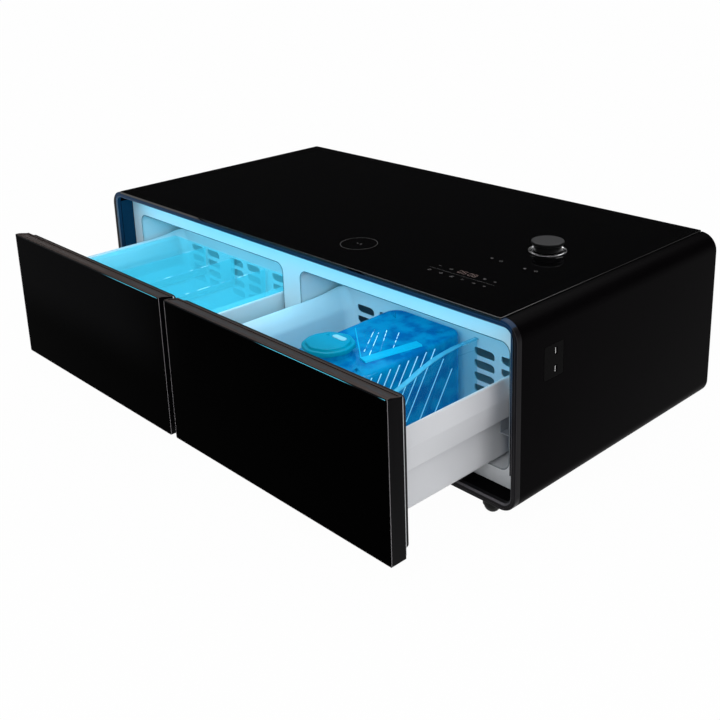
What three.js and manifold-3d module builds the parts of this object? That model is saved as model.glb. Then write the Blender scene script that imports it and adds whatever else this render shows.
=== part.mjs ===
// Refrigerator coffee table: a low black cabinet on casters with a glass top and two cooled drawers.
// Millimetres, +Z up, floor at z = 0, the drawers open towards -Y.
// The origin is on the floor in the middle of the footprint with the drawers standing open.
import * as THREE from "three";
import { mergeVertices } from "three/addons/utils/BufferGeometryUtils.js";
import Module from "manifold-3d";

// Cabinet
const cabinetWidth = 1300;
const cabinetDepth = 646;
const cabinetHeight = 362;
const casterHeight = 42;
const cornerRadius = 36;
const innerRadius = 18;
const shellThickness = 14;
const sideCoverReach = 36;
const frontFrameDepth = 12;
const backCoverInset = 4;
const backCoverThickness = 3;

// Glass top
const glassThickness = 6;
const glassProud = 2.5;
const glassCorner = 3;

// Drawers as they stand in the photograph
const leftDrawerOpen = 276;
const rightDrawerOpen = 274.5;
const drawerInset = 27;
const drawerGap = 14.8;
const drawerBottom = 23;
const drawerTopGap = 30;
const drawerFrontCorner = 3;
const topLipDepth = 7;
const topFall = 5;
const troughDepth = 4.5;
const troughEnd = 4;
const backLipDepth = 4;

// Layers of a drawer front, from the glass back to the seal
const frontGlassThickness = 4;
const frontTrim = 1.6;
const frontCoreThickness = 28.4;
const innerPanelThickness = 4;
const innerPanelInset = 3;
const gasketThickness = 7.4;
const gasketWidth = 11;
const gasketSideInset = 4;
const gasketFootInset = 10;
const gasketTopInset = 8.5;
const gasketCorner = 12;

// Cold compartments
const mullionWidth = 59;
const compartmentSide = 38.3;
const openingBottom = 48;
const compartmentDrop = 50;
const openingCorner = 20;
const linerThickness = 3;
const foamBehindLiner = 24;
const machineRoomDepth = 139.7;

// Drawer tubs
const tubSideClearance = 10;
const tubHeadroom = 68;
const tubBottom = 54;
const tubWall = 2.5;
const tubCorner = 24;
const tubRearClearance = 48;
const binInset = 26;
const skirtStraight = 44;
const skirtHeight = 87;
const skirtSlope = 10;
const rimRollHeight = 42;
const rimSheet = 2;

// Slides
const railHeight = 45;
const railSheet = 1.6;
const railDepth = 10.9;
const railSetback = 4;
const railRearGap = 14.3;
const runnerDepth = 8;
const runnerSetback = 12;
const runnerRearGap = 16;
const ballClearance = 0.5;
const railBracketDrop = 28;
const railBracketFoot = 23;

// Casters
const wheelRadius = 17;
const wheelWidth = 24;
const casterSide = 85;
const casterEnd = 52;
const casterTrail = 12;

// Clearances and the roundness of curves
const touchGap = 0.3;
const overrun = 1;
const weldDistance = 0.001;
const cornerSteps = 3;
const roundSteps = 12;
const fullTurn = 2 * Math.PI;
const quarterTurn = Math.PI / 2;

const wasm = await Module();
wasm.setup();

// Turns a closed three.js geometry into a solid, with its faces pointing out.
function solidOf(geometry) {
  const bare = new THREE.BufferGeometry();
  bare.setAttribute("position", geometry.getAttribute("position"));
  if (geometry.index) bare.setIndex(geometry.index);
  const merged = mergeVertices(bare, weldDistance);
  const vertProperties = merged.getAttribute("position").array;
  const triVerts = new Uint32Array(merged.index.array);
  const solid = new wasm.Manifold(new wasm.Mesh({ numProp: 3, vertProperties, triVerts }));
  if (solid.volume() > 0) return solid;
  for (let i = 0; i < triVerts.length; i += 3) {
    [triVerts[i + 1], triVerts[i + 2]] = [triVerts[i + 2], triVerts[i + 1]];
  }
  return new wasm.Manifold(new wasm.Mesh({ numProp: 3, vertProperties, triVerts }));
}

function geometryOf(solid) {
  const { vertProperties, triVerts } = solid.getMesh();
  const geometry = new THREE.BufferGeometry();
  geometry.setAttribute("position", new THREE.BufferAttribute(vertProperties, 3));
  geometry.setIndex(new THREE.BufferAttribute(triVerts, 1));
  geometry.computeVertexNormals();
  return geometry;
}

function joined(first, ...others) {
  return others.reduce((sum, solid) => sum.add(solid), first);
}

function cutBy(first, ...others) {
  return others.reduce((rest, solid) => rest.subtract(solid), first);
}

// Outlines
function roundedRect(width, height, radius, centreX = 0, centreY = 0) {
  const x = width / 2 - radius;
  const y = height / 2 - radius;
  const shape = new THREE.Shape();
  shape.absarc(centreX + x, centreY - y, radius, -quarterTurn, 0);
  shape.absarc(centreX + x, centreY + y, radius, 0, quarterTurn);
  shape.absarc(centreX - x, centreY + y, radius, quarterTurn, 2 * quarterTurn);
  shape.absarc(centreX - x, centreY - y, radius, 2 * quarterTurn, 3 * quarterTurn);
  return shape;
}

function circle(radius, centreX = 0, centreY = 0) {
  return new THREE.Shape().absarc(centreX, centreY, radius, 0, fullTurn);
}

function polygon(points) {
  return new THREE.Shape(points.map(([x, y]) => new THREE.Vector2(x, y)));
}

// Prisms: an outline pushed along one axis, between two places on it
function extruded(shape, from, to, steps) {
  const options = { depth: to - from, bevelEnabled: false, curveSegments: steps };
  return new THREE.ExtrudeGeometry(shape, options).translate(0, 0, from);
}

function prismZ(shape, from, to, steps = cornerSteps) {
  return solidOf(extruded(shape, from, to, steps));
}

// The outline is in X and Z.
function prismY(shape, from, to, steps = cornerSteps) {
  return solidOf(extruded(shape, -to, -from, steps).rotateX(quarterTurn));
}

// The outline is in Y and Z.
function prismX(shape, from, to, steps = cornerSteps) {
  const axes = new THREE.Matrix4().makeBasis(
    new THREE.Vector3(0, 1, 0),
    new THREE.Vector3(0, 0, 1),
    new THREE.Vector3(1, 0, 0),
  );
  return solidOf(extruded(shape, from, to, steps).applyMatrix4(axes));
}

function block([x0, x1], [y0, y1], [z0, z1]) {
  const geometry = new THREE.BoxGeometry(x1 - x0, y1 - y0, z1 - z0);
  return solidOf(geometry.translate((x0 + x1) / 2, (y0 + y1) / 2, (z0 + z1) / 2));
}

// A solid through rounded rectangles of one depth, stacked upwards. Each ring is [half width, height].
function stacked(rings, depth, corner, centreY) {
  const positions = [];
  for (const [half, z] of rings) {
    const outline = roundedRect(2 * half, depth, corner, 0, centreY).getPoints(cornerSteps);
    for (const point of outline) positions.push(point.x, point.y, z);
  }
  const count = positions.length / 3 / rings.length;
  const index = [];
  for (let i = 0; i < count; i++) {
    const next = (i + 1) % count;
    for (let ring = 0; ring < rings.length - 1; ring++) {
      const low = ring * count;
      const high = low + count;
      index.push(low + i, low + next, high + next, low + i, high + next, high + i);
    }
    if (i === 0 || next === 0) continue;
    const top = (rings.length - 1) * count;
    index.push(0, next, i, top, top + i, top + next);
  }
  const geometry = new THREE.BufferGeometry();
  geometry.setAttribute("position", new THREE.Float32BufferAttribute(positions, 3));
  geometry.setIndex(index);
  return solidOf(geometry);
}

// A turned piece: the profile is [radius, height] from the bottom of the axis to its top.
function turned(profile, segments = 2 * roundSteps) {
  const points = profile.map(([r, z]) => new THREE.Vector2(r, z));
  return solidOf(new THREE.LatheGeometry(points, segments).rotateX(quarterTurn));
}

function span(centre, length) {
  return [centre - length / 2, centre + length / 2];
}

// Finishes
function finish(color, roughness, metalness = 0, opacity = 1) {
  return new THREE.MeshStandardMaterial({
    color,
    roughness,
    metalness,
    opacity,
    transparent: opacity < 1,
  });
}

const satinBlack = () => finish(0x121212, 0.45);
const blackGlass = () => finish(0x050506, 0.06);
const whiteLiner = () => finish(0xe9eff2, 0.35);
const whiteTub = () => finish(0xdfe3e6, 0.4);
const clearPlastic = () => finish(0x9fe0f5, 0.08, 0, 0.35);
const bluePlastic = () => finish(0x1596d8, 0.1, 0, 0.6);
const zincSteel = () => finish(0xa9adb0, 0.35, 0.9);
const blackSteel = () => finish(0x1b1b1c, 0.5, 0.4);
const copper = () => finish(0xb66a3c, 0.3, 0.9);

function place(group, name, solid, material) {
  const mesh = new THREE.Mesh(geometryOf(solid), material);
  mesh.name = name;
  group.add(mesh);
  return mesh;
}

// Frames of reference: the cabinet's is on its front face, at the underside of its shell.
const cabinetFrontY = (leftDrawerOpen - cabinetDepth) / 2;
const table = new THREE.Group();
const cabinet = new THREE.Group();
cabinet.position.set(0, cabinetFrontY, casterHeight);
table.add(cabinet);

const halfWidth = cabinetWidth / 2;
const glassEdge = halfWidth - sideCoverReach;
const glassTop = cabinetHeight + glassProud;
const glassUnderside = glassTop - glassThickness;
const deckTop = glassUnderside - touchGap;
const shellCentreZ = cabinetHeight / 2;
const innerWidth = cabinetWidth - 2 * shellThickness;
const innerHeight = cabinetHeight - 2 * shellThickness;
const innerFloor = shellThickness;
const innerCeiling = cabinetHeight - shellThickness;

// An outline that fills the inside of the shell, less a gap all round
function innerOutline(gap) {
  return roundedRect(innerWidth - 2 * gap, innerHeight - 2 * gap, innerRadius - gap, 0, shellCentreZ);
}

const shellOutline = roundedRect(cabinetWidth, cabinetHeight, cornerRadius, 0, shellCentreZ);
const backCoverBack = cabinetDepth - backCoverInset;
const backCoverFront = backCoverBack - backCoverThickness;

// Depths of the cold compartments, worked out from the drawer that closes on them
const drawerThickness = frontGlassThickness + touchGap + frontCoreThickness + touchGap + innerPanelThickness;
const linerFaceFront = drawerThickness + gasketThickness + 2 * touchGap;
const linerFaceBack = linerFaceFront + linerThickness;
const tubFront = drawerThickness + touchGap;
const foamRearY = backCoverFront - machineRoomDepth;
const linerBack = foamRearY - foamBehindLiner - linerThickness;
const tubRear = linerBack - tubRearClearance;
const tubDepth = tubRear - tubFront;

// Widths and heights of the compartments and of the tubs in them
const openingWidth = innerWidth / 2 - mullionWidth / 2 - compartmentSide;
const openingHeight = innerCeiling - compartmentDrop - openingBottom;
const openingCentreX = (mullionWidth + openingWidth) / 2;
const openingCentreZ = openingBottom + openingHeight / 2;
const tubRimWidth = openingWidth - 2 * tubSideClearance;
const tubTop = openingBottom + openingHeight - tubHeadroom;
const railTop = tubTop - rimRollHeight;

// USB socket plate, let into the right side cover
const usbPlateWidth = 54.4;
const usbPlateHeight = 64.2;
const usbPlateThickness = 2;
const usbPlateCorner = 3;
const usbPlateY = 101;
const usbPlateDrop = 97.3;
const usbPlateZ = cabinetHeight - usbPlateDrop;
const usbBodyMargin = 5;
const usbBodyDepth = 12;
const usbSocketWidth = 6.4;
const usbSocketHeight = 13.6;
const usbSocketDepth = 10;
const usbSocketPitch = 34;
const usbSocketShiftY = 6.5;

function usbBody(gap) {
  const width = usbPlateWidth - 2 * usbBodyMargin + 2 * gap;
  const height = usbPlateHeight - 2 * usbBodyMargin + 2 * gap;
  const outline = roundedRect(width, height, usbPlateCorner, usbPlateY, usbPlateZ);
  return prismX(outline, halfWidth - usbBodyDepth, halfWidth - usbPlateThickness + overrun);
}

function usbFlange(gap, outTo) {
  const outline = roundedRect(
    usbPlateWidth + 2 * gap,
    usbPlateHeight + 2 * gap,
    usbPlateCorner + gap,
    usbPlateY,
    usbPlateZ,
  );
  return prismX(outline, halfWidth - usbPlateThickness - gap, outTo);
}

function addUsbSockets() {
  const sockets = [-1, 1].map((side) =>
    block(
      [halfWidth - usbSocketDepth, halfWidth + overrun],
      span(usbPlateY + usbSocketShiftY, usbSocketWidth),
      span(usbPlateZ + (side * usbSocketPitch) / 2, usbSocketHeight),
    ),
  );
  const plate = cutBy(joined(usbFlange(0, halfWidth), usbBody(0)), ...sockets);
  place(cabinet, "usb_socket_plate", plate, finish(0x0c0c0d, 0.3));
}

// Side covers: the sides of the shell with its rounded top and bottom edges
function addSideCover(name, side) {
  const shell = prismY(shellOutline, frontFrameDepth + touchGap, cabinetDepth);
  const hollow = prismY(innerOutline(0), 0, cabinetDepth + overrun);
  const reach = [glassEdge, halfWidth + overrun].map((x) => x * side).sort((a, b) => a - b);
  const keep = block(reach, [0, cabinetDepth + overrun], [-overrun, cabinetHeight + overrun]);
  let cover = shell.subtract(hollow).intersect(keep);
  if (side > 0) {
    const bodyCut = prismX(
      roundedRect(
        usbPlateWidth - 2 * usbBodyMargin + 2 * touchGap,
        usbPlateHeight - 2 * usbBodyMargin + 2 * touchGap,
        usbPlateCorner,
        usbPlateY,
        usbPlateZ,
      ),
      halfWidth - shellThickness - overrun,
      halfWidth,
    );
    cover = cutBy(cover, bodyCut, usbFlange(touchGap, halfWidth + overrun));
  }
  place(cabinet, name, cover, satinBlack());
}

// Front frame: a slim ring that closes the shell's front edge, lowered under the glass
function addFrontFrame() {
  const ring = prismY(shellOutline, 0, frontFrameDepth).subtract(
    prismY(innerOutline(0), -overrun, frontFrameDepth + overrun),
  );
  const glassPocket = block(
    [-glassEdge, glassEdge],
    [-overrun, frontFrameDepth + overrun],
    [deckTop, cabinetHeight + overrun],
  );
  place(cabinet, "front_frame", ring.subtract(glassPocket), finish(0x272427, 0.35, 0.5));
}

// Controls on the top, placed from the glass's right edge and from the cabinet's front
const coilSide = 471;
const coilX = glassEdge - coilSide;
const coilY = 113;
const coilRadius = 38;
const coilBore = 12;
const coilThickness = 5;
const panelSide = 186;
const panelX = glassEdge - panelSide;
const panelY = 111;
const panelWidth = 190;
const panelDepth = 64;
const panelThickness = 4;
const knobSide = 154;
const knobX = glassEdge - knobSide;
const knobY = 328;
const knobShaftRadius = 5;
const knobBoreGap = 0.4;
const knobRingRadius = 38;
const knobRingHeight = 3;
const knobRingChamfer = 1;
const knobBodyRadius = 28;
const knobBodyHeight = 12;
const knobCapRadius = 32.5;
const knobCapHeight = 7;
const knobCapRound = 1.5;

function knobHole(from, to) {
  return prismZ(circle(knobShaftRadius + knobBoreGap, knobX, knobY), from, to, roundSteps);
}

// Top deck: the board that carries the glass, with pockets for the electronics
function addTopDeck() {
  const board = block(
    [-glassEdge + touchGap, glassEdge - touchGap],
    [frontFrameDepth + touchGap, backCoverBack],
    [innerCeiling + touchGap, deckTop],
  );
  const coilPocket = prismZ(
    circle(coilRadius + touchGap, coilX, coilY),
    deckTop - coilThickness - touchGap,
    deckTop + overrun,
    roundSteps,
  );
  const panelPocket = block(
    span(panelX, panelWidth + 2 * touchGap),
    span(panelY, panelDepth + 2 * touchGap),
    [deckTop - panelThickness - touchGap, deckTop + overrun],
  );
  place(cabinet, "top_deck", cutBy(board, coilPocket, panelPocket), finish(0x1c1b1a, 0.8));
}

function addGlassTop() {
  const width = 2 * (glassEdge - touchGap);
  const sheet = prismZ(
    roundedRect(width, cabinetDepth, glassCorner, 0, cabinetDepth / 2),
    glassUnderside,
    glassTop,
  );
  const hole = knobHole(glassUnderside - overrun, glassTop + overrun);
  place(cabinet, "glass_top", sheet.subtract(hole), blackGlass());
}

function addControls() {
  const coilFloor = deckTop - coilThickness;
  const coil = prismZ(circle(coilRadius, coilX, coilY), coilFloor, deckTop, roundSteps).subtract(
    prismZ(circle(coilBore, coilX, coilY), coilFloor - overrun, deckTop + overrun, roundSteps),
  );
  place(cabinet, "charging_coil", coil, copper());

  const board = block(
    span(panelX, panelWidth),
    span(panelY, panelDepth),
    [deckTop - panelThickness, deckTop],
  );
  place(cabinet, "touch_panel", board, finish(0x0f2b1c, 0.5));

  const ringFoot = glassTop + touchGap;
  const ringTop = ringFoot + knobRingHeight;
  const ring = turned([
    [0, ringFoot],
    [knobRingRadius, ringFoot],
    [knobRingRadius, ringTop - knobRingChamfer],
    [knobRingRadius - knobRingChamfer, ringTop],
    [0, ringTop],
  ])
    .translate([knobX, knobY, 0])
    .subtract(knobHole(ringFoot - overrun, ringTop + overrun));
  place(cabinet, "knob_ring", ring, zincSteel());

  const knob = new THREE.Group();
  knob.position.set(knobX, knobY, 0);
  cabinet.add(knob);
  const bodyFoot = ringTop + knobBoreGap;
  const capFoot = bodyFoot + knobBodyHeight;
  const capTop = capFoot + knobCapHeight;
  const handle = turned([
    [0, deckTop + touchGap],
    [knobShaftRadius, deckTop + touchGap],
    [knobShaftRadius, bodyFoot],
    [knobBodyRadius, bodyFoot],
    [knobBodyRadius, capFoot],
    [knobCapRadius, capFoot + knobCapRound],
    [knobCapRadius, capTop - knobCapRound],
    [knobCapRadius - knobCapRound, capTop],
    [0, capTop],
  ]);
  place(knob, "control_knob", handle, finish(0x1d1d1f, 0.3, 0.5));
}

function addBasePanel() {
  const panel = block(
    [-glassEdge + touchGap, glassEdge - touchGap],
    [frontFrameDepth + touchGap, backCoverBack],
    [0, innerFloor - touchGap],
  );
  place(cabinet, "base_panel", panel, satinBlack());
}

// Power inlet: an appliance socket in the back cover
const inletSide = 74;
const inletX = inletSide - innerWidth / 2;
const inletZ = 74;
const inletFlangeWidth = 50;
const inletFlangeHeight = 32;
const inletFlangeThickness = 2;
const inletBodyWidth = 30;
const inletBodyHeight = 24;
const inletBodyDepth = 26;
const inletRecessWidth = 24.5;
const inletRecessHeight = 16.5;
const inletRecessDepth = 20;
const inletPinPitch = 7;
const inletPinWidth = 2;
const inletPinHeight = 4;
const inletPinLength = 12;

function addPowerInlet() {
  const back = backCoverBack + touchGap + inletFlangeThickness;
  const flange = block(
    span(inletX, inletFlangeWidth),
    [backCoverBack + touchGap, back],
    span(inletZ, inletFlangeHeight),
  );
  const body = block(
    span(inletX, inletBodyWidth),
    [back - inletBodyDepth, back],
    span(inletZ, inletBodyHeight),
  );
  const recessFloor = back - inletRecessDepth;
  const recess = block(
    span(inletX, inletRecessWidth),
    [recessFloor, back + overrun],
    span(inletZ, inletRecessHeight),
  );
  const pins = [-1, 0, 1].map((step) =>
    block(
      span(inletX + step * inletPinPitch, inletPinWidth),
      [recessFloor - overrun, recessFloor + inletPinLength],
      span(inletZ, inletPinHeight),
    ),
  );
  const socket = joined(joined(flange, body).subtract(recess), ...pins);
  place(cabinet, "power_inlet", socket, finish(0x101010, 0.5));
}

// Back cover with its ventilation louvres
const louvreCount = 9;
const louvreWidth = 150;
const louvreHeight = 6;
const louvrePitch = 18;
const louvreBottom = 70;
const louvreColumnShares = [0.34, 0.142, -0.237];

function addBackCover() {
  const sheet = prismY(innerOutline(touchGap), backCoverFront, backCoverBack);
  const cutDepth = [backCoverFront - overrun, backCoverBack + overrun];
  const louvres = [];
  for (const share of louvreColumnShares) {
    for (let row = 0; row < louvreCount; row++) {
      const z = louvreBottom + row * louvrePitch;
      louvres.push(block(span(share * innerWidth, louvreWidth), cutDepth, span(z, louvreHeight)));
    }
  }
  const inletHole = block(
    span(inletX, inletBodyWidth + 2 * touchGap),
    cutDepth,
    span(inletZ, inletBodyHeight + 2 * touchGap),
  );
  place(cabinet, "back_cover", cutBy(sheet, inletHole, ...louvres), blackSteel());
}

// Cold compartments: the white face with its two mouths, a moulded liner behind each, and foam
function openingOutline(grow, side) {
  return roundedRect(
    openingWidth + 2 * grow,
    openingHeight + 2 * grow,
    openingCorner + grow,
    side * openingCentreX,
    openingCentreZ,
  );
}

const evaporatorSideGap = 84;
const evaporatorWidth = innerWidth - 2 * evaporatorSideGap;
const evaporatorHeight = 170;
const evaporatorThickness = 6;
const evaporatorChannels = 5;
const evaporatorChannelHeight = 10;
const evaporatorSheet = 2;
const evaporatorFront = linerBack + linerThickness + touchGap;

function addCompartments() {
  const mouths = [-1, 1].map((side) =>
    prismY(openingOutline(0, side), linerFaceFront - overrun, linerFaceBack + overrun),
  );
  const face = cutBy(prismY(innerOutline(touchGap), linerFaceFront, linerFaceBack), ...mouths);
  place(cabinet, "liner_face", face, whiteLiner());

  const linerFront = linerFaceBack + touchGap;
  const linerRear = linerBack + linerThickness;
  for (const [name, side] of [["left_liner", -1], ["right_liner", 1]]) {
    const outside = prismY(openingOutline(linerThickness, side), linerFront, linerRear);
    const inside = prismY(openingOutline(0, side), linerFront - overrun, linerBack);
    place(cabinet, name, outside.subtract(inside), whiteLiner());
  }

  const pockets = [-1, 1].map((side) =>
    prismY(openingOutline(linerThickness + touchGap, side), linerFaceFront, linerRear + touchGap),
  );
  const evaporatorPocket = block(
    span(0, evaporatorWidth + 2 * touchGap),
    [linerRear, evaporatorFront + evaporatorThickness + touchGap],
    span(openingCentreZ, evaporatorHeight + 2 * touchGap),
  );
  const foam = prismY(innerOutline(touchGap), linerFront, foamRearY);
  const foamBlock = cutBy(foam, ...pockets, evaporatorPocket);
  place(cabinet, "foam_insulation", foamBlock, finish(0xe8dfb8, 0.9));

  const sheet = block(
    span(0, evaporatorWidth),
    [evaporatorFront, evaporatorFront + evaporatorSheet],
    span(openingCentreZ, evaporatorHeight),
  );
  const channels = [];
  for (let i = 0; i < evaporatorChannels; i++) {
    const share = (i + 0.5) / evaporatorChannels - 0.5;
    const z = openingCentreZ + share * evaporatorHeight;
    channels.push(
      block(
        span(0, evaporatorWidth - 2 * evaporatorChannelHeight),
        [evaporatorFront, evaporatorFront + evaporatorThickness],
        span(z, evaporatorChannelHeight),
      ),
    );
  }
  place(cabinet, "evaporator", joined(sheet, ...channels), finish(0xb9bdc0, 0.4, 0.8));
}

// Light bar: the strip under the ceiling that lights the white face
const lightBarLength = innerWidth - 2 * compartmentSide;
const lightBarHeight = 11;
const lightBarDepth = 15;
const lightBarChamfer = 6;

function addLightBar() {
  const back = linerFaceFront - touchGap;
  const front = back - lightBarDepth;
  const top = innerCeiling - touchGap;
  const bottom = top - lightBarHeight;
  const section = polygon([
    [front, top],
    [front, bottom + lightBarChamfer],
    [front + lightBarChamfer, bottom],
    [back, bottom],
    [back, top],
  ]);
  const bar = prismX(section, -lightBarLength / 2, lightBarLength / 2);
  place(cabinet, "led_light_bar", bar, finish(0x7fe6ff, 0.3));
}

// Fixed slide rails: a channel beside each tub on a bracket from the compartment wall
const binHalf = tubRimWidth / 2 - binInset;
const railReach = openingWidth / 2 - binHalf - touchGap;

// Points of a slide's section are [out from the bin's side, height].
function slideSection(points, side) {
  const ordered = side > 0 ? points : [...points].reverse();
  return polygon(ordered.map(([out, z]) => [side * (binHalf + out), z]));
}

function addFixedRail(name, drawerSide, side) {
  const bottom = railTop - railHeight;
  const lipStart = railDepth - runnerDepth;
  const bracketZ = bottom - railBracketDrop;
  const section = slideSection(
    [
      [lipStart, railTop],
      [lipStart, railTop - railSheet],
      [railDepth - railSheet, railTop - railSheet],
      [railDepth - railSheet, bottom + railSheet],
      [lipStart, bottom + railSheet],
      [lipStart, bottom],
      [railDepth - railSheet, bottom],
      [railDepth - railSheet, bracketZ],
      [railReach - railSheet, bracketZ],
      [railReach - railSheet, bracketZ - railBracketFoot],
      [railReach, bracketZ - railBracketFoot],
      [railReach, bracketZ + railSheet],
      [railDepth, bracketZ + railSheet],
      [railDepth, railTop],
    ],
    side,
  );
  const rail = prismY(section, linerFaceBack + railSetback, linerBack - railRearGap);
  place(cabinet, name, rail.translate([drawerSide * openingCentreX, 0, 0]), zincSteel());
}

function addFixedRails() {
  addFixedRail("left_drawer_rail_left", -1, -1);
  addFixedRail("left_drawer_rail_right", -1, 1);
  addFixedRail("right_drawer_rail_left", 1, -1);
  addFixedRail("right_drawer_rail_right", 1, 1);
}

// Machine room behind the foam: compressor, condenser with its fan, and the control box
const roomCentreY = (foamRearY + backCoverFront) / 2;
const roomFloor = innerFloor;
const compressorSide = 184;
const compressorX = innerWidth / 2 - compressorSide;
const compressorRadius = 52;
const compressorHeight = 150;
const compressorDome = 26;
const compressorFootWidth = 150;
const compressorFootDepth = 90;
const compressorFootSheet = 3;
const compressorStubRadius = 6;
const compressorStubHeight = 14;
const domeShare = 0.6;

function addCompressor() {
  const foot = roomFloor + compressorFootSheet;
  const top = foot + compressorHeight;
  const domeStart = top - compressorDome;
  const bodySteps = [
    [0, foot - overrun],
    [compressorRadius * domeShare, foot - overrun],
    [compressorRadius, foot + compressorDome],
    [compressorRadius, domeStart],
    [compressorRadius * domeShare, top],
    [0, top],
  ];
  const stub = turned([
    [0, top - overrun],
    [compressorStubRadius, top - overrun],
    [compressorStubRadius, top + compressorStubHeight],
    [0, top + compressorStubHeight],
  ]);
  const plate = block(
    span(0, compressorFootWidth),
    span(0, compressorFootDepth),
    [roomFloor, foot],
  );
  const pump = joined(turned(bodySteps), stub, plate).translate([compressorX, roomCentreY, 0]);
  place(cabinet, "compressor", pump, finish(0x0e0e0f, 0.35, 0.3));
  return top + compressorStubHeight;
}

const condenserOffset = 300;
const condenserX = compressorX - condenserOffset;
const condenserWidth = 200;
const condenserDepth = 44;
const condenserHeight = 150;
const condenserFins = 10;
const condenserFinSheet = 1.5;
const condenserTubes = 3;
const condenserTube = 8;

function addCondenser() {
  const centreZ = roomFloor + condenserHeight / 2;
  const pieces = [];
  for (let i = 0; i < condenserFins; i++) {
    const share = i / (condenserFins - 1) - 0.5;
    const x = condenserX + share * (condenserWidth - condenserFinSheet);
    pieces.push(
      block(
        span(x, condenserFinSheet),
        span(roomCentreY, condenserDepth),
        span(centreZ, condenserHeight),
      ),
    );
  }
  for (let i = 0; i < condenserTubes; i++) {
    const share = (i + 0.5) / condenserTubes - 0.5;
    const z = centreZ + share * condenserHeight;
    pieces.push(
      block(span(condenserX, condenserWidth), span(roomCentreY, condenserTube), span(z, condenserTube)),
    );
  }
  place(cabinet, "condenser", joined(...pieces), zincSteel());
  return centreZ + condenserHeight / 2;
}

// Fan: a square shroud across the room, its motor on four struts, and the turning rotor
const fanOffset = 150;
const fanX = compressorX - fanOffset;
const fanSize = 124;
const fanShroudDepth = 25;
const fanBore = 57;
const fanMotorRadius = 19;
const fanMotorDepth = 6;
const fanStrutWidth = 6;
const fanHubRadius = 18;
const fanHubDepth = 14;
const fanTip = 54;
const fanBlades = 7;
const fanBladeChord = 20;
const fanBladeSheet = 2;
const fanBladePitch = Math.PI / 5;

function addFan() {
  const centreZ = roomFloor + touchGap + fanSize / 2;
  const fan = new THREE.Group();
  fan.position.set(fanX, roomCentreY, centreZ);
  cabinet.add(fan);
  const back = fanShroudDepth / 2;
  const bore = prismX(circle(fanBore), -back - overrun, back + overrun, roundSteps);
  const frame = block([-back, back], span(0, fanSize), span(0, fanSize)).subtract(bore);
  const motorFront = back - fanMotorDepth;
  const motor = prismX(circle(fanMotorRadius), motorFront, back, roundSteps);
  const upright = block([motorFront, back], span(0, fanStrutWidth), span(0, 2 * fanBore + overrun));
  const level = block([motorFront, back], span(0, 2 * fanBore + overrun), span(0, fanStrutWidth));
  place(fan, "fan_shroud", joined(frame, motor, upright, level), finish(0x151515, 0.5));

  const hubEnd = motorFront - touchGap;
  const hub = prismX(circle(fanHubRadius), hubEnd - fanHubDepth, hubEnd, roundSteps);
  const blades = [];
  for (let i = 0; i < fanBlades; i++) {
    const geometry = new THREE.BoxGeometry(fanBladeSheet, fanBladeChord, fanTip - fanHubRadius + overrun);
    geometry.rotateZ(fanBladePitch);
    geometry.translate(hubEnd - fanHubDepth / 2, 0, (fanTip + fanHubRadius - overrun) / 2);
    geometry.rotateX((i / fanBlades) * fullTurn);
    blades.push(solidOf(geometry));
  }
  place(fan, "fan_rotor", joined(hub, ...blades), finish(0x222426, 0.5));
}

const controlBoxSide = 204;
const controlBoxX = controlBoxSide - innerWidth / 2;
const controlBoxWidth = 170;
const controlBoxDepth = 60;
const controlBoxHeight = 96;

const pipeRadius = 3.2;
const pipeRise = 34;
const pipeSteps = 22;
const pipeSides = 4;

// The discharge pipe rises from the compressor's stub and comes down on the condenser.
function addPipe(stubTop, condenserTop) {
  const endX = condenserX + (condenserWidth - condenserFinSheet) / 2;
  const top = stubTop + pipeRise;
  const route = [
    [compressorX, stubTop + touchGap],
    [compressorX, stubTop + pipeRise / 2],
    [compressorX - pipeRise / 2, top],
    [(compressorX + endX) / 2, top],
    [endX + pipeRise / 2, top],
    [endX, stubTop + pipeRise / 2],
    [endX, condenserTop + pipeRise / 2],
    [endX, condenserTop + touchGap],
  ].map(([x, z]) => new THREE.Vector3(x, roomCentreY, z));
  const path = new THREE.CatmullRomCurve3(route);
  const options = { steps: pipeSteps, extrudePath: path, curveSegments: pipeSides, bevelEnabled: false };
  const pipe = solidOf(new THREE.ExtrudeGeometry(circle(pipeRadius), options));
  place(cabinet, "refrigerant_pipe", pipe, copper());
}

function addMachineRoom() {
  const stubTop = addCompressor();
  const condenserTop = addCondenser();
  addFan();
  addPipe(stubTop, condenserTop);
  const box = block(
    span(controlBoxX, controlBoxWidth),
    span(roomCentreY, controlBoxDepth),
    [roomFloor, roomFloor + controlBoxHeight],
  );
  place(cabinet, "control_box", box, finish(0xd8d8d4, 0.6));
}

// A drawer front: dark glass in a slim frame over a foam core, a plastic inner panel and a seal
const frontWidth = halfWidth - drawerInset - drawerGap / 2;
const drawerTop = innerCeiling - drawerTopGap;
const drawerFrontHeight = drawerTop - drawerBottom;
const gasketHeight = drawerFrontHeight - gasketFootInset - gasketTopInset;
const frontShift = drawerGap / 2 + frontWidth / 2 - openingCentreX;
const frontCentreZ = drawerBottom + drawerFrontHeight / 2;

function frontOutline(inset, corner, side) {
  return roundedRect(
    frontWidth - 2 * inset,
    drawerFrontHeight - 2 * inset,
    corner,
    side * frontShift,
    frontCentreZ,
  );
}

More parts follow.
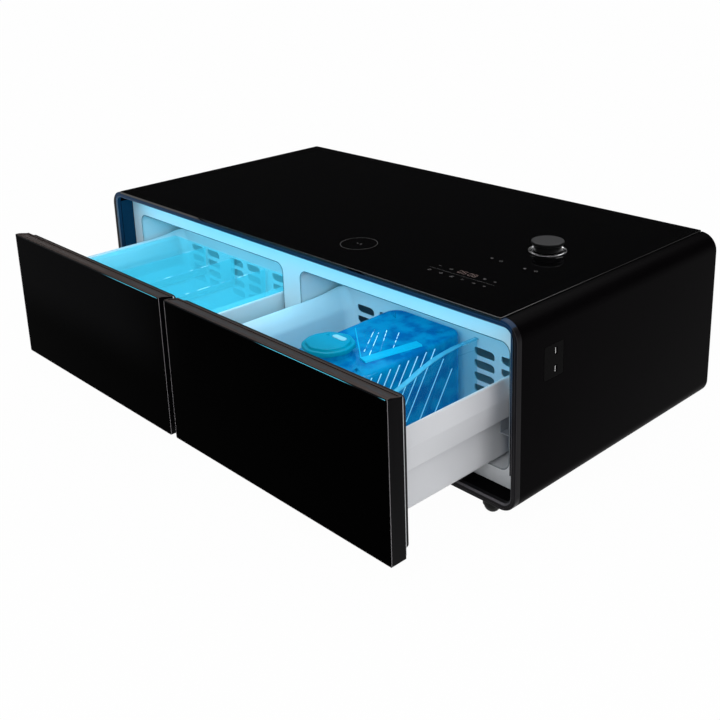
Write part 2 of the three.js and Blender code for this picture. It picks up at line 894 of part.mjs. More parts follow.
// The top edge of a drawer front falls towards the back, and a shallow trough for the fingers lies in it.
function fingerPullCuts(side, coreBack) {
  const lipBack = topLipDepth;
  const backLipFront = coreBack - backLipDepth;
  const low = drawerTop - topFall;
  const over = drawerTop + overrun;
  const fall = polygon([
    [lipBack, drawerTop],
    [backLipFront, low],
    [coreBack + overrun, low],
    [coreBack + overrun, over],
    [lipBack, over],
  ]);
  const trough = polygon([
    [lipBack, drawerTop - troughDepth],
    [backLipFront, low - troughDepth],
    [backLipFront, over],
    [lipBack, over],
  ]);
  const centre = side * frontShift;
  const full = span(centre, frontWidth + 2 * overrun);
  const between = span(centre, frontWidth - 2 * troughEnd);
  return [prismX(fall, ...full), prismX(trough, ...between)];
}

function sealOutline(inset, side) {
  return roundedRect(
    frontWidth - 2 * gasketSideInset - 2 * inset,
    gasketHeight - 2 * inset,
    gasketCorner - inset,
    side * frontShift,
    drawerBottom + gasketFootInset + gasketHeight / 2,
  );
}

function addDrawerFront(drawer, name, side) {
  const coreBack = frontGlassThickness + touchGap + frontCoreThickness;
  const glass = prismY(
    frontOutline(frontTrim + touchGap, drawerFrontCorner, side),
    0,
    frontGlassThickness,
  );
  place(drawer, name + "_front_glass", glass, blackGlass());

  const slab = prismY(frontOutline(0, drawerFrontCorner, side), touchGap, coreBack);
  const glassSeat = prismY(
    frontOutline(frontTrim, drawerFrontCorner, side),
    -overrun,
    frontGlassThickness + touchGap,
  );
  const fingerPull = fingerPullCuts(side, coreBack);
  const core = cutBy(slab, glassSeat, ...fingerPull);
  place(drawer, name + "_front_frame", core, finish(0x1a1818, 0.3, 0.6));

  const panelFront = coreBack + touchGap;
  const panelTop = drawerTop - topFall - innerPanelInset;
  const panel = prismY(
    roundedRect(
      frontWidth - 2 * innerPanelInset,
      panelTop - drawerBottom - innerPanelInset,
      drawerFrontCorner,
      side * frontShift,
      (panelTop + drawerBottom + innerPanelInset) / 2,
    ),
    panelFront,
    panelFront + innerPanelThickness,
  );
  place(drawer, name + "_inner_panel", panel, whiteLiner());

  const sealFront = drawerThickness + touchGap;
  const seal = prismY(sealOutline(0, side), sealFront, sealFront + gasketThickness).subtract(
    prismY(sealOutline(gasketWidth, side), sealFront - overrun, sealFront + gasketThickness + overrun),
  );
  place(drawer, name + "_gasket", seal, finish(0x17181a, 0.7));
}

// A tub: a deep bin whose sides roll outwards to a crest, skirts that hang from the crest and hide
// the slides, and vent slots in its back wall
const rimHalf = tubRimWidth / 2;
const rimRollShares = [[1, 1], [0.84, 0.71], [0.7, 0.48], [0.53, 0.29], [0.32, 0.12], [0.175, 0.03]];
const rimCrestShares = [[0, 0.071], [0.028, 0.019], [0.088, 0]];

// A point of the rim's section: its shares run from the crest inwards to the bin and down.
function rimPoint([inShare, downShare], gap = 0) {
  const run = binInset + tubWall;
  return [rimHalf - inShare * run + gap, tubTop - downShare * rimRollHeight - gap];
}

const ventLengthShare = 0.1033;
const ventLength = ventLengthShare * 2 * binHalf;
const ventHeight = 20;
const ventPairShare = 0.1362;
const ventPairPitch = ventPairShare * 2 * binHalf;
const ventGroupShare = 0.335;
const ventGroupPitch = ventGroupShare * 2 * binHalf;
const ventGroups = 3;
const ventRows = 3;
const ventRowShare = 0.185;
const ventRowPitch = ventRowShare * (tubTop - tubBottom);
const ventTopDrop = 52;
const ventShift = 6;
const ventTipShare = 0.22;

// A leaf-shaped slot: long edges that bow, with its tips at opposite ends
function ventOutline(x, z) {
  const half = ventLength / 2;
  const rise = ventHeight / 2;
  const tip = ventTipShare * ventLength;
  return polygon([
    [x - half, z + tip / 2],
    [x - half, z - tip / 4],
    [x - half + tip, z - rise],
    [x + half - tip, z - rise],
    [x + half, z - tip / 2],
    [x + half, z + tip / 4],
    [x + half - tip, z + rise],
    [x - half + tip, z + rise],
  ]);
}

function tubVents() {
  const patternWidth = (ventGroups - 1) * ventGroupPitch + ventPairPitch;
  const vents = [];
  for (let row = 0; row < ventRows; row++) {
    const z = tubTop - ventTopDrop - row * ventRowPitch;
    for (let group = 0; group < ventGroups; group++) {
      for (const inPair of [0, 1]) {
        const x = ventShift - patternWidth / 2 + group * ventGroupPitch + inPair * ventPairPitch;
        vents.push(prismY(ventOutline(x, z), tubRear - tubWall - overrun, tubRear + overrun));
      }
    }
  }
  return vents;
}

function addTub(drawer, name) {
  const middleY = tubFront + tubDepth / 2;
  const innerCorner = tubCorner - tubWall;
  const crest = rimCrestShares.map((share) => rimPoint(share));
  const [crestHalf] = crest.at(-1);
  const rollOutside = rimRollShares.slice(1).map((share) => rimPoint(share, rimSheet));
  const outside = stacked(
    [[binHalf, tubBottom], [binHalf, tubTop - rimRollHeight - rimSheet], ...rollOutside, ...crest],
    tubDepth,
    tubCorner,
    middleY,
  );
  const rollInside = rimRollShares.map((share) => rimPoint(share));
  const hollow = stacked(
    [
      [binHalf - tubWall, tubBottom + tubWall],
      ...rollInside,
      [crestHalf, tubTop],
      [crestHalf, tubTop + overrun],
    ],
    tubDepth - 2 * tubWall,
    innerCorner,
    middleY,
  );
  const skirts = [-1, 1].map((side) => {
    const foot = tubTop - skirtHeight;
    const knee = tubTop - skirtStraight;
    const points = [
      crest[0],
      [rimHalf - tubWall / 2, tubTop - tubWall / 2],
      [rimHalf - tubWall, tubTop - tubWall / 2],
      [rimHalf - tubWall, knee],
      [rimHalf - skirtSlope - tubWall, foot],
      [rimHalf - skirtSlope, foot],
      [rimHalf, knee],
    ];
    const ordered = side > 0 ? points : points.reverse();
    const section = polygon(ordered.map(([x, z]) => [side * x, z]));
    return prismY(section, tubFront + tubCorner, tubRear - tubCorner);
  });
  const tub = cutBy(joined(outside, ...skirts), hollow, ...tubVents());
  place(drawer, name + "_tub", tub, whiteTub());
}

// Moving runners: a channel screwed to each side of the bin, riding inside the fixed rail
function addRunner(drawer, name, side) {
  const top = railTop - railSheet - ballClearance;
  const bottom = railTop - railHeight + railSheet + ballClearance;
  const section = slideSection(
    [
      [touchGap, top],
      [touchGap, bottom],
      [runnerDepth, bottom],
      [runnerDepth, bottom + railSheet],
      [touchGap + railSheet, bottom + railSheet],
      [touchGap + railSheet, top - railSheet],
      [runnerDepth, top - railSheet],
      [runnerDepth, top],
    ],
    side,
  );
  const runner = prismY(section, tubFront + runnerSetback + tubCorner / 2, tubRear - runnerRearGap);
  place(drawer, name, runner, zincSteel());
}

// Clear tray with four long channels, whose flanges lie on the rolled rim of the left tub
const [traySeatHalf, traySeatZ] = rimPoint(rimRollShares[4]);
const trayTop = traySeatZ + touchGap;
const trayRim = 2;
const trayWall = 2.4;
const trayDrop = 71;
const traySideClearance = 3;
const trayChannels = 4;

function addTray(drawer) {
  const half = binHalf - tubWall - traySideClearance;
  const y = [tubFront + tubCorner, tubRear - tubCorner];
  const bottom = trayTop - trayDrop;
  const body = block([-half, half], y, [bottom, trayTop + trayRim]);
  const flange = block([-traySeatHalf, traySeatHalf], y, [trayTop, trayTop + trayRim]);
  const pitch = (2 * half - trayWall) / trayChannels;
  const channels = [];
  for (let i = 0; i < trayChannels; i++) {
    const left = -half + trayWall + i * pitch;
    channels.push(
      block(
        [left, left + pitch - trayWall],
        [y[0] + trayWall, y[1] - trayWall],
        [bottom + trayWall, trayTop + trayRim + overrun],
      ),
    );
  }
  place(drawer, "left_drawer_tray", cutBy(joined(body, flange), ...channels), clearPlastic());
}

// Clear divider that stands at a slight angle across the right tub, with a bead along its top
const tubFloor = tubBottom + tubWall;
const dividerSheet = 3;
const dividerDrop = 0.5;
const dividerTop = tubTop - dividerDrop;
const dividerFrontX = 187;
const dividerRearX = 119;
const dividerBeadWidth = 11;
const dividerBeadHeight = 3;

function addDivider(drawer) {
  const frontY = tubFront + tubWall + touchGap;
  const rearY = tubRear - tubWall - touchGap;
  const strip = (width) =>
    polygon([
      [dividerFrontX - width / 2, frontY],
      [dividerFrontX + width / 2, frontY],
      [dividerRearX + width / 2, rearY],
      [dividerRearX - width / 2, rearY],
    ]);
  const sheet = prismZ(strip(dividerSheet), tubFloor + touchGap, dividerTop);
  const bead = prismZ(strip(dividerBeadWidth), dividerTop - dividerBeadHeight, dividerTop);
  place(drawer, "right_drawer_divider", joined(sheet, bead), clearPlastic());
}

// Blue drinks jug in the right tub: a low square tank with a round neck, a turning lid and side ribs
const jugX = -3;
const jugWidth = 190;
const jugSetback = 92.1;
const jugRearGap = 6.3;
const jugFront = tubFront + jugSetback;
const jugLength = tubRear - jugRearGap - jugFront;
const jugY = jugFront + jugLength / 2;
const jugDrop = 0.5;
const jugTop = tubTop - jugDrop;
const jugCorner = 30;
const jugWall = 3;
const jugNeckX = -40;
const jugNeckSetback = 54.4;
const jugNeckY = jugFront + jugNeckSetback;
const jugNeckRadius = 45;
const jugNeckHeight = 10;
const jugRidgeX = 54;
const jugRidgeShares = [0.161, 0.709];
const jugRidgeY = jugRidgeShares.map((share) => jugFront + share * jugLength);
const jugRidgeWidth = 13;
const jugRidgeHeight = 4;
const jugRibs = 11;
const jugRibPitchShare = 0.081;
const jugRibPitch = jugRibPitchShare * jugLength;
const jugRibSetback = 39;
const jugRibFirstY = jugFront + jugRibSetback;
const jugRibDrop = 130;
const jugRibRunShare = 0.68;
const jugRibTurnShare = 0.7;
const jugRibTurnY = jugFront + jugRibTurnShare * jugLength;
const jugRibFallShare = 1.4;
const jugRibRoom = 12;
const jugRibFrontY = jugRibFirstY - jugRibRoom;
const jugRibWidth = 3;
const jugRibProud = 1.4;
const lidRadius = 51;
const lidHeight = 9;
const lidDiscRadius = 43;
const lidDiscHeight = 4;
const lidGripDepth = 2;

function addJug(drawer) {
  const foot = tubFloor + touchGap;
  const neckTop = jugTop + jugNeckHeight;
  const outside = prismZ(roundedRect(jugWidth, jugLength, jugCorner, jugX, jugY), foot, jugTop);
  const neck = prismZ(circle(jugNeckRadius, jugNeckX, jugNeckY), jugTop - jugWall, neckTop, roundSteps);
  const ridge = block(
    span(jugX + jugRidgeX, jugRidgeWidth),
    jugRidgeY,
    [jugTop - overrun, jugTop + jugRidgeHeight],
  );
  const inside = prismZ(
    roundedRect(jugWidth - 2 * jugWall, jugLength - 2 * jugWall, jugCorner - jugWall, jugX, jugY),
    foot + jugWall,
    jugTop - jugWall,
  );
  const neckBore = prismZ(
    circle(jugNeckRadius - jugWall, jugNeckX, jugNeckY),
    jugTop - 2 * jugWall,
    neckTop + overrun,
    roundSteps,
  );
  const ribs = [];
  for (let i = 0; i < jugRibs; i++) {
    const y = jugRibFirstY + i * jugRibPitch;
    const top = jugTop - jugRibWidth - Math.max(0, y - jugRibTurnY) * jugRibFallShare;
    const room = Math.min((y - jugRibFrontY) / jugRibRunShare, top - foot - jugRibWidth);
    const drop = Math.min(jugRibDrop, room);
    const footY = y - drop * jugRibRunShare;
    const section = polygon([
      [y, top],
      [footY, top - drop],
      [footY + jugRibWidth, top - drop],
      [y + jugRibWidth, top],
    ]);
    for (const side of [-1, 1]) {
      const face = jugX + (side * jugWidth) / 2;
      const reach = [face - (side * jugWall) / 2, face + side * jugRibProud].sort((a, b) => a - b);
      ribs.push(prismX(section, ...reach));
    }
  }
  const jug = cutBy(joined(outside, neck, ridge, ...ribs), inside, neckBore);
  place(drawer, "water_jug", jug, bluePlastic());

  const lid = new THREE.Group();
  lid.position.set(jugNeckX, jugNeckY, neckTop + touchGap);
  drawer.add(lid);
  const cap = turned([
    [0, 0],
    [lidRadius - lidGripDepth, 0],
    [lidRadius, lidGripDepth],
    [lidRadius, lidHeight - lidGripDepth],
    [lidRadius - lidGripDepth, lidHeight],
    [lidDiscRadius, lidHeight],
    [lidDiscRadius, lidHeight + lidDiscHeight],
    [0, lidHeight + lidDiscHeight],
  ]);
  place(lid, "jug_lid", cap, bluePlastic());
}

function addDrawer(name, side, open) {
  const drawer = new THREE.Group();
  drawer.position.set(side * openingCentreX, -open, 0);
  cabinet.add(drawer);
  addDrawerFront(drawer, name, side);
  addTub(drawer, name);
  addRunner(drawer, name + "_runner_left", -1);
  addRunner(drawer, name + "_runner_right", 1);
  return drawer;
}

// Casters: a fixed plate with its swivel race, a turning fork with the axle, and a barrel wheel
const casterPlateSize = 46;
const casterPlateSheet = 2.5;
const casterPlateCorner = 5;
const casterRaceRadius = 12;
const casterRaceHeight = 2;
const casterCrownSheet = 2.4;
const casterRunGap = 0.4;
const casterCheekSheet = 2.5;
const casterCheekDrop = 8;
const casterAxleRadius = 3;
const casterAxleGap = 0.3;
const wheelRound = 5;

function addCaster(name, sideX, y) {
  const caster = new THREE.Group();
  caster.position.set(sideX * (halfWidth - casterSide), y, -casterHeight);
  cabinet.add(caster);

  const plateTop = casterHeight - touchGap;
  const plateFoot = plateTop - casterPlateSheet;
  const raceFoot = plateFoot - casterRaceHeight;
  const plate = prismZ(
    roundedRect(casterPlateSize, casterPlateSize, casterPlateCorner),
    plateFoot,
    plateTop,
  );
  const race = prismZ(circle(casterRaceRadius), raceFoot, plateFoot + overrun, roundSteps);
  place(caster, "caster_plate_" + name, joined(plate, race), zincSteel());

  const fork = new THREE.Group();
  caster.add(fork);
  const axleY = -casterTrail;
  const crownTop = raceFoot - touchGap;
  const cheekInner = wheelWidth / 2 + casterRunGap;
  const cheekOuter = cheekInner + casterCheekSheet;
  const crownFront = axleY - wheelRadius + casterCheekDrop;
  const crown = block(
    [-cheekOuter, cheekOuter],
    [crownFront, casterRaceRadius],
    [crownTop - casterCrownSheet, crownTop],
  );
  const cheekOutline = polygon([
    [crownFront, crownTop],
    [crownFront, wheelRadius],
    [axleY - casterCheekDrop / 2, casterCheekDrop],
    [axleY + casterCheekDrop / 2, casterCheekDrop],
    [casterRaceRadius, crownTop - casterCheekDrop],
    [casterRaceRadius, crownTop],
  ]);
  const cheeks = [-1, 1].map((side) => {
    const x = [side * cheekInner, side * cheekOuter].sort((a, b) => a - b);
    return prismX(cheekOutline, x[0], x[1]);
  });
  const axle = prismX(circle(casterAxleRadius, axleY, wheelRadius), -cheekOuter, cheekOuter, roundSteps / 2);
  place(fork, "caster_fork_" + name, joined(crown, ...cheeks, axle), blackSteel());

  const halfTread = wheelWidth / 2;
  const bore = casterAxleRadius + casterAxleGap;
  const profile = [
    [bore, -halfTread],
    [wheelRadius - wheelRound, -halfTread],
    [wheelRadius, -halfTread + wheelRound],
    [wheelRadius, halfTread - wheelRound],
    [wheelRadius - wheelRound, halfTread],
    [bore, halfTread],
    [bore, -halfTread],
  ];
  const wheelSolid = turned(profile).rotate([0, 90, 0]);
  const wheel = place(fork, "caster_wheel_" + name, wheelSolid, finish(0x0c0c0c, 0.6));
  wheel.position.set(0, axleY, wheelRadius);
}

addFrontFrame();
addSideCover("left_side_cover", -1);
addSideCover("right_side_cover", 1);
addUsbSockets();
addTopDeck();
addGlassTop();
addControls();
addBasePanel();
addBackCover();
addPowerInlet();
addCompartments();
addLightBar();
addFixedRails();
addMachineRoom();

const leftDrawer = addDrawer("left_drawer", -1, leftDrawerOpen);
addTray(leftDrawer);
const rightDrawer = addDrawer("right_drawer", 1, rightDrawerOpen);
addDivider(rightDrawer);
addJug(rightDrawer);

addCaster("front_left", -1, casterEnd);
addCaster("front_right", 1, casterEnd);
addCaster("back_left", -1, cabinetDepth - casterEnd);
addCaster("back_right", 1, cabinetDepth - casterEnd);

export default table;
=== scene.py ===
import math

import bmesh
import bpy
from mathutils import Matrix, Vector


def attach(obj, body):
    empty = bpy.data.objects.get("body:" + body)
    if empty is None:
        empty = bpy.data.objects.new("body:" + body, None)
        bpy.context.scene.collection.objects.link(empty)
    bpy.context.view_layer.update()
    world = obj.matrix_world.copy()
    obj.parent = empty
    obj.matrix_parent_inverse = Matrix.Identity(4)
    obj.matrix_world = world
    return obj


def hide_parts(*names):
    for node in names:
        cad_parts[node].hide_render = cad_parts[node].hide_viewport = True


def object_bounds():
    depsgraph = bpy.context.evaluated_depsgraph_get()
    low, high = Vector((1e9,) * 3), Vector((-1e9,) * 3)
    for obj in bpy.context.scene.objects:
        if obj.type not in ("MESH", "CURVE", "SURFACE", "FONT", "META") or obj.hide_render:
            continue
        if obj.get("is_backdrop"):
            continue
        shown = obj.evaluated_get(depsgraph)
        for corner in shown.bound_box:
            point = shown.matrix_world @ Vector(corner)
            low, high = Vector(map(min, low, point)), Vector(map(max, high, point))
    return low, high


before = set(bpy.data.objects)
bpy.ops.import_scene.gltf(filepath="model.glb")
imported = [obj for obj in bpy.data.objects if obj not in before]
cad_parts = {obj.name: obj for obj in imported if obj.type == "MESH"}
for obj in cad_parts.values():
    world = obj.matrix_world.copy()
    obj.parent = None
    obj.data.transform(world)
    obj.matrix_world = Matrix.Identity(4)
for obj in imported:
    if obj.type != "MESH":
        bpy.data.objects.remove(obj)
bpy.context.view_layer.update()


# Side covers: the sides of the cabinet, sheet steel rolled over at the top and the bottom and painted
# satin black. Each is screwed to the top deck and to the base panel. The right one has a pocket for
# the socket plate.
MM = 0.001
CABINET = Vector((0, -185, 42))
SHELL_WIDTH, SHELL_DEPTH, SHELL_HEIGHT = 1300, 646, 362
SHELL_CORNER, SHELL_SHEET, LINING_CORNER, COVER_REACH, COVER_FRONT = 36, 14, 18, 36, 12.3
PLATE_Y, PLATE_Z, PLATE_WIDTH, PLATE_HEIGHT, PLATE_CORNER = 101, 264.7, 54.4, 64.2, 3
PLATE_SHEET, PLATE_LEDGE, FIT = 2, 5, 0.3
OUTSIDE = SHELL_WIDTH / 2
SIDES = ((-1, "left"), (1, "right"))
SHELL_STEPS = 14
HALF_RING = 2 * (SHELL_STEPS + 1)


def rgb(red, green, blue):
    """A colour as a screen shows it, 0 to 255, turned into the shader's own scale."""
    shares = [c / 255 for c in (red, green, blue)]
    return tuple(s / 12.92 if s <= 0.04045 else ((s + 0.055) / 1.055) ** 2.4 for s in shares) + (1.0,)


class Wire:
    """An output socket in a finish's node tree; sums and products of wires add Math nodes."""

    def __init__(self, tree, socket=None):
        self.tree = tree
        self.socket = socket

    def node(self, kind, settings=None, sockets=None, out=0):
        """A node of that type with its settings made, then its sockets set or linked."""
        made = self.tree.nodes.new(kind)
        for name, setting in (settings or {}).items():
            setattr(made, name, setting)
        for name, value in (sockets or {}).items():
            if isinstance(value, Wire):
                self.tree.links.new(value.socket, made.inputs[name])
            else:
                made.inputs[name].default_value = value
        return Wire(self.tree, made.outputs[out] if len(made.outputs) else None)

    def math(self, operation, first, second=0.0):
        """A Math node on two wires or numbers."""
        return self.node("ShaderNodeMath", {"operation": operation}, {0: first, 1: second})

    def __add__(self, other):
        return self.math("ADD", self, other)

    def __sub__(self, other):
        return self.math("SUBTRACT", self, other)

    def __rsub__(self, other):
        return self.math("SUBTRACT", other, self)

    def __mul__(self, other):
        return self.math("MULTIPLY", self, other)

    __radd__ = __add__
    __rmul__ = __mul__

    def between(self, low, high):
        """A soft step from 0 at low to 1 at high."""
        limits = {"Value": self, "From Min": low, "From Max": high}
        return self.node("ShaderNodeMapRange", {"interpolation_type": "SMOOTHSTEP"}, limits)

    def blend(self, first, second):
        """The first colour where this wire is 0 and the second where it is 1."""
        return self.node("ShaderNodeMix", {"data_type": "RGBA"}, {0: self, 6: first, 7: second}, out=2)

    def band(self, *steps):
        """A soft step up between the first two places and down again between the last two."""
        return self.between(*steps[:2]) * (1 - self.between(*steps[2:]))

    def output(self, name):
        """Another output of the node that this wire comes from."""
        return Wire(self.tree, self.socket.node.outputs[name])

    def place(self, axis=None):
        """The place on the object, in metres, or one of its coordinates."""
        spot = self.node("ShaderNodeTexCoord", out="Object")
        return self.node("ShaderNodeSeparateXYZ", sockets={"Vector": spot}, out=axis) if axis else spot

    def noise(self, size, detail=3.0, stretch=(1, 1, 1)):
        """Noise whose grains are size millimetres across, drawn out along an axis by stretch."""
        spot = self.node("ShaderNodeMapping", sockets={"Vector": self.place(), "Scale": stretch})
        sockets = {"Vector": spot, "Scale": 1 / (size * MM), "Detail": detail}
        return self.node("ShaderNodeTexNoise", sockets=sockets)

    def bump(self, height, millimetres):
        """A normal that follows the height, at most that many millimetres deep."""
        sockets = {"Height": height, "Distance": millimetres * MM, "Strength": 1.0}
        return self.node("ShaderNodeBump", sockets=sockets)

    def surface(self, **values):
        """The finished surface; a word like base_color stands for the socket Base Color."""
        names = {"specular": "Specular IOR Level"}
        sockets = {names.get(word, word.replace("_", " ").title()): v for word, v in values.items()}
        return self.node("ShaderNodeBsdfPrincipled", sockets=sockets)

    def seen_through(self, tint, share, body):
        """A clear sheet of that tint, which shows body by that share."""
        sheet = self.node("ShaderNodeBsdfTransparent", sockets={"Color": tint})
        return self.node("ShaderNodeMixShader", sockets={0: share, 1: sheet, 2: body})


def finish(name, recipe):
    """A material whose surface is what recipe builds from an empty node tree."""
    made = bpy.data.materials.new(name)
    made.use_nodes = True
    made.node_tree.nodes.clear()
    surface = recipe(Wire(made.node_tree))
    surface.node("ShaderNodeOutputMaterial", sockets={"Surface": surface})
    return made


def mottled(name, grain, colours, gloss, bump=None, stretch=(1, 1, 1), **others):
    """A finish of two close colours, mottled by noise of that grain, which also varies the gloss.

    The roughness is gloss[1], and up to gloss[0] more; bump is a grain and a depth in millimetres.
    """
    def recipe(start):
        mottle = start.noise(grain, stretch=stretch)
        if bump:
            texture = mottle if bump[0] == grain else start.noise(bump[0])
            others["normal"] = start.bump(texture, bump[1])
        roughness = mottle * gloss[0] + gloss[1] if gloss[0] else gloss[1]
        colour = mottle.blend(rgb(*colours[0]), rgb(*colours[1]))
        return start.surface(base_color=colour, roughness=roughness, **others)

    return finish(name, recipe)


def rounded(width, height, radius, x=0.0, y=0.0, steps=10):
    """Points of a rounded rectangle about x and y, anticlockwise from its lower right corner."""
    points = []
    for quarter, (right, up) in enumerate(((1, -1), (1, 1), (-1, 1), (-1, -1))):
        for i in range(steps + 1):
            turn = math.radians(90 * (quarter - 1 + i / steps))
            points.append((
                x + right * (width / 2 - radius) + radius * math.cos(turn),
                y + up * (height / 2 - radius) + radius * math.sin(turn),
            ))
    return points


def loft(rings, wrap=False, form=None):
    """A skin through rings of equally many points, closed at both ends or wrapped round."""
    form = bmesh.new() if form is None else form
    rows = [[form.verts.new(point) for point in ring] for ring in rings]
    pairs = list(zip(rows, rows[1:])) + ([(rows[-1], rows[0])] if wrap else [])
    for low, high in pairs:
        for i in range(len(low)):
            form.faces.new((low[i - 1], low[i], high[i], high[i - 1]))
    if not wrap:
        form.faces.new(rows[0][::-1])
        form.faces.new(rows[-1])
    return form


def along_y(outline, *stations):
    """Rings of an outline in X and Z at places along Y."""
    return [[(x, y, z) for x, z in outline] for y in stations]


def along_x(outline, *stations):
    """Rings of an outline in Y and Z at places along X."""
    return [[(x, y, z) for y, z in outline] for x in stations]


def along_z(outline, *stations):
    """Rings of an outline in X and Y at heights."""
    return [[(x, y, z) for x, y in outline] for z in stations]


def box(x0, x1, y0, y1, z0, z1):
    """A plain block, for cutting and for small flat pieces that get their edges rounded."""
    return loft(along_y([(x0, z0), (x1, z0), (x1, z1), (x0, z1)], y0, y1))


def joined(*forms):
    """Several forms as one."""
    whole = bmesh.new()
    for form in forms:
        part = bpy.data.meshes.new("part")
        form.to_mesh(part)
        form.free()
        whole.from_mesh(part)
        bpy.data.meshes.remove(part)
    return whole


def carved(form, *tools):
    """The form with the tools cut out of it; all are closed."""
    solids = []
    for solid in (form, joined(*tools)):
        bmesh.ops.remove_doubles(solid, verts=solid.verts, dist=0.001)
        bmesh.ops.recalc_face_normals(solid, faces=solid.faces)
        mesh = bpy.data.meshes.new("carving")
        solid.to_mesh(mesh)
        solid.free()
        solids.append(bpy.data.objects.new("carving", mesh))
        bpy.context.collection.objects.link(solids[-1])
    cut = solids[0].modifiers.new("cut", "BOOLEAN")
    cut.operation = "DIFFERENCE"
    cut.solver = "EXACT"
    cut.object = solids[1]
    result = bmesh.new()
    result.from_object(solids[0], bpy.context.evaluated_depsgraph_get())
    for solid in solids:
        mesh = solid.data
        bpy.data.objects.remove(solid)
        bpy.data.meshes.remove(mesh)
    return result


def add_piece(name, form, material, body, nodes=(), edge=0.0, origin=CABINET, sharp=38):
    """The form as a piece that rides on a body, in metres, with its sharp edges rounded by edge."""
    bmesh.ops.remove_doubles(form, verts=form.verts, dist=0.0005)
    bmesh.ops.recalc_face_normals(form, faces=form.faces)
    bmesh.ops.transform(form, matrix=Matrix.Scale(MM, 4) @ Matrix.Translation(origin), verts=form.verts)
    mesh = bpy.data.meshes.new(name)
    form.to_mesh(mesh)
    form.free()
    mesh.shade_smooth()
    mesh.set_sharp_from_angle(angle=math.radians(sharp))
    mesh.materials.append(material)
    piece = bpy.data.objects.new(name, mesh)
    bpy.context.collection.objects.link(piece)
    if edge:
        rounding = piece.modifiers.new("edges", "BEVEL")
        rounding.width = edge * MM
        rounding.segments = 3
        rounding.limit_method = "ANGLE"
        rounding.angle_limit = math.radians(sharp)
        rounding.harden_normals = True
    else:
        flats = piece.modifiers.new("flats", "WEIGHTED_NORMAL")
        flats.keep_sharp = True
    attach(piece, body)
    if nodes:
        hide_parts(*nodes)


black_paint = mottled(
    "satin_black_paint", 160, ((4, 3, 4), (7, 6, 7)), (0.1, 0.3), (0.9, 0.02), specular=0.006,
)


def cover_section(side):
    """The C-shaped section of a side cover, from the glass's edge round the outside and back inside."""
    middle = SHELL_HEIGHT / 2
    outer = rounded(SHELL_WIDTH, SHELL_HEIGHT, SHELL_CORNER, 0, middle, SHELL_STEPS)[:HALF_RING]
    hollow = (SHELL_WIDTH - 2 * SHELL_SHEET, SHELL_HEIGHT - 2 * SHELL_SHEET)
    inner = rounded(*hollow, LINING_CORNER, 0, middle, SHELL_STEPS)[:HALF_RING]
    reach = OUTSIDE - COVER_REACH
    points = [*outer, (reach, SHELL_HEIGHT - SHELL_SHEET), *reversed(inner), (reach, SHELL_SHEET)]
    return [(side * x, z) for x, z in points]


for side, word in SIDES:
    cover = loft(along_y(cover_section(side), COVER_FRONT, SHELL_DEPTH))
    if side > 0:
        pocket_floor = OUTSIDE - PLATE_SHEET - FIT
        pocket, well = [
            rounded(PLATE_WIDTH + 2 * grow, PLATE_HEIGHT + 2 * grow, PLATE_CORNER, PLATE_Y, PLATE_Z)
            for grow in (FIT, -PLATE_LEDGE)
        ]
        cover = carved(
            cover,
            loft(along_x(pocket, pocket_floor, OUTSIDE + 5)),
            loft(along_x(well, OUTSIDE - SHELL_SHEET - 3, pocket_floor + 1)),
        )
    name = word + "_side_cover"
    add_piece(name + "_shell", cover, black_paint, "cabinet", [name], edge=0.8)


# Front frame: a slim drawn aluminium ring, anodised black, that closes the front edge of the shell.
# It has a fine groove all round and a sloped inner edge, and is lowered under the glass. Its rounded
# edges carry a painted highlight, and the light bar's blue tint beside the mouths and under the glass
# is painted in as a glow.
GLASS_REACH = OUTSIDE - COVER_REACH
DECK_TOP = 358.2
FRAME_PROFILE = [
    (12, 0), (1.6, 0), (0.5, 0.4), (0, 1.4), (0, 4.4), (0.9, 4.7), (0.9, 5.6), (0, 5.9),
    (0, 10.0), (0.5, 11.1), (2.8, 13.6), (4.0, 14), (12, 14),
]
BEVEL_HIGHLIGHT_FACING = (0.2, 0.45, 0.8, 0.97)
GLOW_UNDER_GLASS, GLOW_REACH = (0.384, 0.386, 0.3905, 0.396), (0.625, 0.634)
GLOW_BY_MOUTH, MOUTH_REACH = (0.14, 0.34), (0.6365, 0.6395)


def facing(start, axis):
    """How far the surface faces along an axis of the world, 0 to 1, whichever way."""
    normal = start.node("ShaderNodeNewGeometry", out="Normal")
    part = start.node("ShaderNodeSeparateXYZ", sockets={"Vector": normal}, out=axis)
    return start.math("ABSOLUTE", part)


def anodised_black(start):
    streaks = start.noise(3, stretch=(0.05, 1, 1))
    # Painted highlight: the profile's rounded edges, found by how far they face forward, turn pale grey.
    bevel = facing(start, "Y").band(*BEVEL_HIGHLIGHT_FACING)
    height, across = start.place("Z"), start.math("ABSOLUTE", start.place("X"))
    # Painted light: the light bar's blue glow under the glass and beside the mouths.
    under_glass = height.band(*GLOW_UNDER_GLASS) * (1 - across.between(*GLOW_REACH))
    by_mouth = (1 - across.between(*MOUTH_REACH)) * height.between(*GLOW_BY_MOUTH)
    glow = start.math("MINIMUM", under_glass + by_mouth, 1.0)
    return start.surface(
        base_color=bevel.blend(streaks.blend(rgb(14, 13, 15), rgb(24, 22, 25)), rgb(92, 90, 94)),
        roughness=streaks * 0.12 + 0.26,
        specular=0.06,
        emission_color=glow.blend(rgb(0, 0, 0), rgb(0, 38, 68)),
        emission_strength=1.0,
        normal=start.bump(start.noise(0.5), 0.01),
    )


